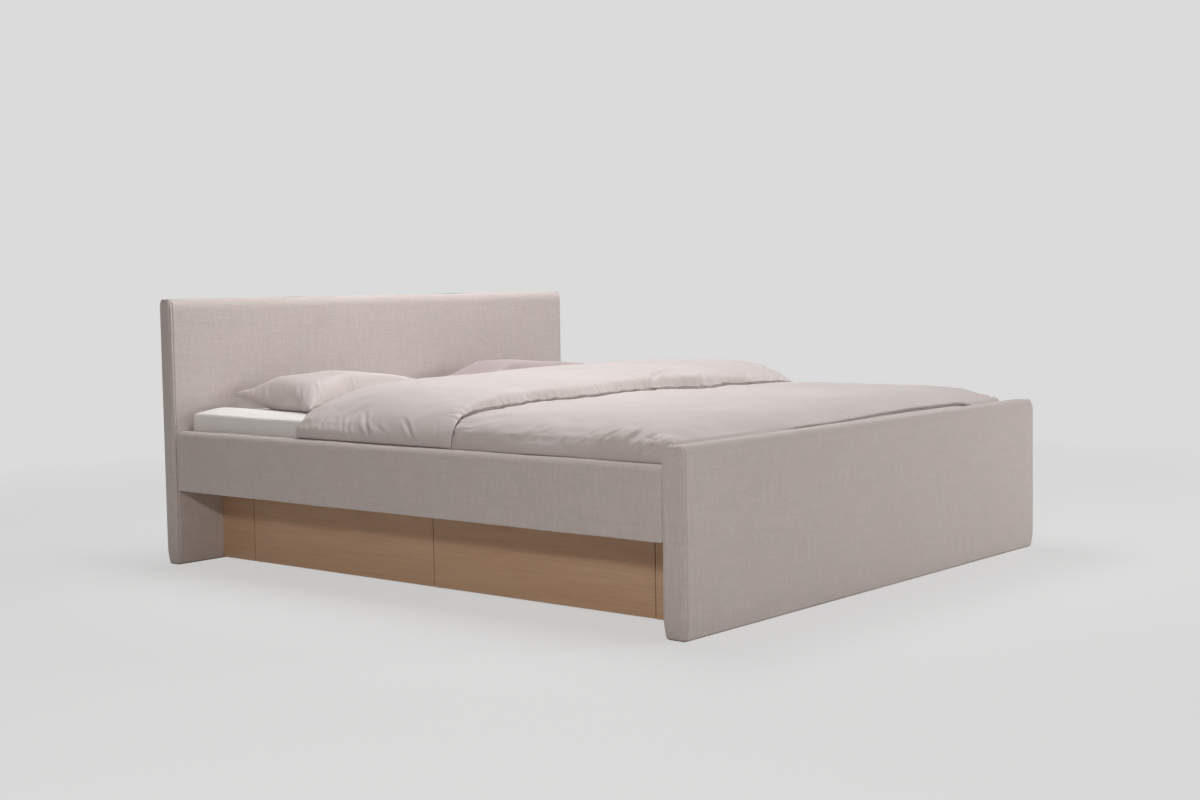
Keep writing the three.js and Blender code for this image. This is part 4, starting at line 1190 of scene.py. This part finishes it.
def folded_part(x, hem, fold, sway, near_edge):
    """Rows of the folded part: round its lip, up its slope and over it, and down the roll at the
    folded edge."""
    flare = np.sign(x) * SIDE_DRAW * near_edge
    base = layer_height(x, hem) + sway * (1 - near_edge)
    rows = []
    for angle in np.linspace(0, math.pi, LIP_ROWS + 1)[:-1]:
        back = (1 + math.cos(angle)) / 2
        rise = (HEM_LIP * (1 - math.cos(angle)) / 2 - HEM_VALLEY) * (1 - near_edge)
        spread = flare - np.sign(x) * LIP_DRAW * near_edge * back
        rows.append(np.stack([x + spread, hem + HEM_UNDERCUT * back, base + rise], -1))

    # The slope climbs in two parts: a steep one behind the lip and a slow one
    to_right = smooth(x, 0.45, 0.8)
    steep = 0.5 * (1 - to_right)
    for share in graded(1.0, 0.0035, 0.0105):
        y = hem + (fold - FOLD_ROLL - hem) * share
        past = y - hem
        start = layer_height(x, y) + (HEM_LIP - HEM_VALLEY) * (1 - near_edge) * np.exp(-past / 0.1)
        start = start + sway * (1 - near_edge) * np.exp(-past / HEM_SWAY_REACH)
        slow = 1 - np.exp(-(past / (0.115 - 0.03 * to_right)) ** (1 + 0.2 * to_right))
        grow = steep * (1 - np.exp(-(past / 0.0115) ** 1.5)) + (1 - steep) * slow
        height = start + np.maximum(fold_height(x, y) - start, 0) * grow
        rows.append(np.stack([x + flare, y, height], -1))

    rest = rest_height(x, fold - FOLD_ROLL) + UNDER_ROOM
    half = np.maximum((rows[-1][:, 2] - rest) / 2, DUVET_EDGE / 2)
    reach = FOLD_ROLL * np.clip(half / FOLD_ROLL, 0, 1) ** 0.7
    for angle in np.linspace(math.pi / 2, -math.pi / 2, ROLL_ROWS + 1)[1:]:
        y = fold - FOLD_ROLL + reach * math.cos(angle)
        rows.append(np.stack([x + flare, y, rest + half * (1 + math.sin(angle))], -1))
    return np.stack(rows)


def settled_top(top, x, hem, crease_row):
    """The duvet's top after its cloth has settled, held along the hem, at the sides and at both
    ends. crease_row is the last row of the single layer."""
    row = np.arange(len(top))[:, None]
    on_hem = (row >= crease_row - 1) & (row <= crease_row + LIP_ROWS)
    at_side = SIDE_EDGE - np.abs(x)[None, :] < 0.006
    at_ends = (row < 2) | (row > len(top) - 6)
    held = np.where(on_hem | at_side | at_ends, 1.0, CLOTH_REST)
    near_side = smooth(np.abs(top[..., 0]), 0.66, 0.86)
    near_hem = bell(top[..., 1] - hem, 0, 0.11)
    near_foot = 1 - smooth(top[..., 1], -0.95, -0.82)
    slack = np.clip(0.12 + 0.45 * near_side + 0.5 * near_hem + 0.4 * near_foot, 0, 1)
    return gathered(top, held, slack)


def creased_top(top, x, hem, crease_row):
    """The settled top with its creases, kept over what it rests on and inside the duvet's edges."""
    row = np.arange(len(top))[:, None]
    relief = duvet_relief(top, hem, (row > crease_row).astype(float))
    fade = np.minimum(1, (len(top) - 1 - row) / (ROLL_ROWS + 1))
    fade = fade * smooth(SIDE_EDGE - np.abs(x)[None, :], 0, 0.008)
    top = top + grid_normals(top) * (relief * fade)[..., None]
    floor = rest_height(top[..., 0], top[..., 1]) + DUVET_EDGE
    top[..., 2] = np.maximum(top[..., 2], floor)
    top[..., 1] = np.maximum(top[..., 1], FOOT_EDGE)
    top[..., 0] = np.clip(top[..., 0], -SIDE_EDGE - 0.004, SIDE_EDGE + 0.004)
    return top


def foot_lip(edge, x, lift):
    """Rows that roll under the foot edge, where it lies on the mattress."""
    rows = []
    for angle in np.linspace(math.pi / 2, 0, FOOT_ROWS + 1)[:-1]:
        back = FOOT_ROLL_BACK * (1 - math.cos(angle)) * lift
        drop = FOOT_ROLL * math.sin(angle) * lift
        rows.append(edge + np.stack([0 * x, back, -drop], -1))
    lip = np.stack(rows)
    floor = rest_height(x, FOOT_EDGE + FOOT_ROLL) + 0.0006
    lip[..., 2] = np.where(foot_lift(x) > 0, np.maximum(lip[..., 2], floor), lip[..., 2])
    return lip


def underside(x, fold, lift, near_edge, foot_height):
    """Rows from the folded edge back to the foot, just over what the duvet lies on."""
    start = fold - FOLD_ROLL
    inside = x - np.sign(x) * UNDER_INSIDE * near_edge
    rows = []
    for share in np.linspace(0, 1, UNDER_ROWS + 1)[1:]:
        y = start + (FOOT_EDGE + FOOT_ROLL_BACK * lift - start) * share
        rows.append(np.stack([inside, y, rest_height(x, y) + UNDER_ROOM], -1))
    under = np.stack(rows)
    under[-1, :, 2] = np.clip(under[-1, :, 2], RAIL_TOP + UNDER_ROOM, foot_height - 0.002)
    return under


def closed_faces(whole, top_rows):
    """Faces of a closed body whose first rows are its top and the others its underside."""
    rows, columns = whole.shape[:2]
    faces = [tuple(face) for face in sheet_faces(rows, columns)]
    last = (rows - 1) * columns
    faces += [(last + step, last + step + 1, step + 1, step) for step in range(columns - 1)]
    along = whole[..., 1].ravel()
    for column in (0, columns - 1):
        above = [line * columns + column for line in range(top_rows)]
        below = [line * columns + column for line in range(rows - 1, top_rows - 1, -1)]
        faces += zipped(above, below, along)
    return faces


def lay_duvet(look):
    """The duvet in one closed piece: single layer, folded part, rolled edge and underside."""
    x = duvet_columns()
    hem, fold = hem_line(x), fold_line(x)
    sway = HEM_SWAY * ripples(np.stack([x, x * 0, x * 0], -1), 0.075, 52)
    near_edge = smooth(np.abs(x), SIDE_EDGE - 0.035, SIDE_EDGE)
    lower = single_layer(x, hem, sway, near_edge)
    upper = folded_part(x, hem, fold, sway, near_edge)
    # The cloth work takes every second row, so their number has to be odd
    if (len(lower) + len(upper)) % 2 == 0:
        upper = np.concatenate([upper, upper[-1:] - [0, 0.004, 0]])
    top = np.concatenate([lower, upper])
    top[..., 2] = soft_most(top[..., 2], rest_height(top[..., 0], top[..., 1]) + DUVET_EDGE, REST_BLEND)
    crease_row = len(lower) - 1
    top = creased_top(settled_top(top, x, hem, crease_row), x, hem, crease_row)
    lift = (0.04 + foot_lift(x)) * (1 - near_edge)
    top = np.concatenate([foot_lip(top[0], x, lift), top])
    whole = np.concatenate([top, underside(x, fold, lift, near_edge, top[0, :, 2])])
    piece = make_piece("folded_duvet", whole, closed_faces(whole, len(top)), look, "duvet")


# Stage
def softbox(name, place, target, side, power, colour):
    """A square area lamp at place that faces target."""
    data = bpy.data.lights.new(name, "AREA")
    data.shape = "RECTANGLE"
    data.size = side
    data.size_y = side
    data.energy = power
    data.color = colour
    light = bpy.data.objects.new(name, data)
    light.location = place
    light.rotation_euler = (Vector(target) - Vector(place)).to_track_quat("-Z", "Y").to_euler()
    bpy.context.collection.objects.link(light)


def set_camera():
    """The camera at its place, with its turns about the upright, the level and its own axis."""
    forward = Vector((
        math.sin(CAMERA_YAW) * math.cos(CAMERA_PITCH),
        math.cos(CAMERA_YAW) * math.cos(CAMERA_PITCH),
        -math.sin(CAMERA_PITCH),
    ))
    right = Vector((math.cos(CAMERA_YAW), -math.sin(CAMERA_YAW), 0))
    up = right.cross(forward)
    tilted_right = math.cos(CAMERA_ROLL) * right + math.sin(CAMERA_ROLL) * up
    tilted_up = math.cos(CAMERA_ROLL) * up - math.sin(CAMERA_ROLL) * right
    data = bpy.data.cameras.new("camera")
    data.lens = CAMERA_LENS
    data.sensor_width = CAMERA_SENSOR
    data.clip_end = CAMERA_REACH
    camera = bpy.data.objects.new("camera", data)
    turn = Matrix((tilted_right, tilted_up, -forward)).transposed()
    camera.matrix_world = Matrix.Translation(CAMERA_PLACE) @ turn.to_4x4()
    bpy.context.collection.objects.link(camera)
    bpy.context.scene.camera = camera


def mix_for_camera(nodes, links, plain, seen, out, share=None):
    """Shows plain to the light, and seen to rays from the camera and those that a mirror or glass
    sends on. share is a socket that says how much of seen they get."""
    path = nodes.new("ShaderNodeLightPath")
    value = path.outputs["Is Camera Ray"]
    steps = [("MAXIMUM", path.outputs[kind]) for kind in ("Is Glossy Ray", "Is Transmission Ray")]
    if share is not None:
        steps.append(("MULTIPLY", share))
    for operation, other in steps:
        joined = nodes.new("ShaderNodeMath")
        joined.operation = operation
        links.new(value, joined.inputs[0])
        links.new(other, joined.inputs[1])
        value = joined.outputs[0]
    mix = nodes.new("ShaderNodeMixShader")
    for socket, place in zip((value, plain.outputs[0], seen.outputs[0]), mix.inputs):
        links.new(socket, place)
    links.new(mix.outputs[0], out.inputs[0])


def set_world():
    """Soft light all round, seen by the camera as the backdrop's colour."""
    world = bpy.data.worlds.new("studio")
    world.use_nodes = True
    bpy.context.scene.world = world
    nodes = world.node_tree.nodes
    nodes.clear()
    light, wall = (nodes.new("ShaderNodeBackground") for _ in range(2))
    light.inputs[0].default_value = AMBIENT
    wall.inputs[0].default_value = linear(BACKDROP)
    mix_for_camera(nodes, world.node_tree.links, light, wall, nodes.new("ShaderNodeOutputWorld"))


def lay_floor():
    """A pale floor that keeps the bed's shadow and runs out into the backdrop's colour."""
    look = Look("floor", 0.9)
    nodes, links = look.nodes, look.links
    plain = nodes.new("ShaderNodeBsdfDiffuse")
    plain.inputs[0].default_value = (FLOOR_PALE, FLOOR_PALE, FLOOR_PALE, 1)
    glow = nodes.new("ShaderNodeEmission")
    glow.inputs[0].default_value = linear(BACKDROP)
    reach = look.add("ShaderNodeVectorMath", {0: look.place}, operation="LENGTH").outputs["Value"]
    share = look.spread(reach, FLOOR_NEAR, FLOOR_FAR, 1 - FLOOR_SHARE, 1.0)
    links.new(look.spread(reach, FLOOR_NEAR, FLOOR_FAR, FLOOR_GLOW, 1.0), glow.inputs[1])
    mix_for_camera(nodes, links, plain, glow, nodes["Material Output"], share)
    mesh = bpy.data.meshes.new("floor")
    corners = ((-1, -1), (1, -1), (1, 1), (-1, 1))
    mesh.from_pydata([(x * FLOOR_HALF, y * FLOOR_HALF, 0) for x, y in corners], [], [(0, 1, 2, 3)])
    mesh.materials.append(look.material)
    floor = bpy.data.objects.new("floor", mesh)
    bpy.context.collection.objects.link(floor)


def dress_nodes(looks):
    """Gives each CAD node the material of its slot."""
    for part in frame["record"]["subparts"]:
        node = frame["nodes"][part["node"]]
        for slot in node.material_slots:
            slot.material = looks[part["material_slot"]]


bpy.context.scene.view_settings.view_transform = "Standard"
set_camera()
set_world()
lay_floor()
for lamp in LAMPS:
    softbox(*lamp)

looks = {
    "upholstery": linen_look(),
    "board": chipboard_look(),
    "oak": veneer_look(),
    "birch": wood_look("birch", 0xdfc9ab, 0xceb38f),
    "beech": wood_look("beech", 0xc48f5c, 0xa9743f),
    "bracket": zinc_look(),
    "foam": foam_look(),
    "liner": vinyl_look("liner", 0x3e5f86, 0x36547a, 0.42),
    "water_core": vinyl_look("water core", 0x5f93c4, 0x5487b9, 0.3),
    "heater": vinyl_look("heater", 0x2b2b2e, 0x353539, 0.5),
    "quilting": quilt_look(),
    "sheet": percale_look(),
    "duvet": satin_look("satin", SATIN, 0xc5bab7),
    "pillow_pale": satin_look("pale satin", SATIN, 0xc7bbb9),
    # The right pillow: mauve satin in two tones, both darker than the pale satin as painted shade for the
    # dimmer far side of the bed
    "pillow_mauve": satin_look("mauve satin with painted shade", MAUVE_WITH_PAINTED_SHADE, 0xac9d9e),
}
dress_nodes(looks)
upholster_board("headboard", looks["upholstery"], 11, 1, HEAD_SETTLE)
upholster_board("footboard", looks["upholstery"], 12, 0, FOOT_SETTLE)
upholster_rail("left_rail", looks["upholstery"], 13)
upholster_rail("right_rail", looks["upholstery"], 14)
lay_fitted_sheet(looks["sheet"])
lay_pillow("left_pillow", "pillow_left", looks["pillow_pale"], 21,
           lean=0.68, ear=0.008, dip=0.032, own_pleats=LEFT_PLEATS)
lay_pillow("right_pillow", "pillow_right", looks["pillow_mauve"], 22,
           lean=0.35, left_lean=0.85)
lay_duvet(looks["duvet"])
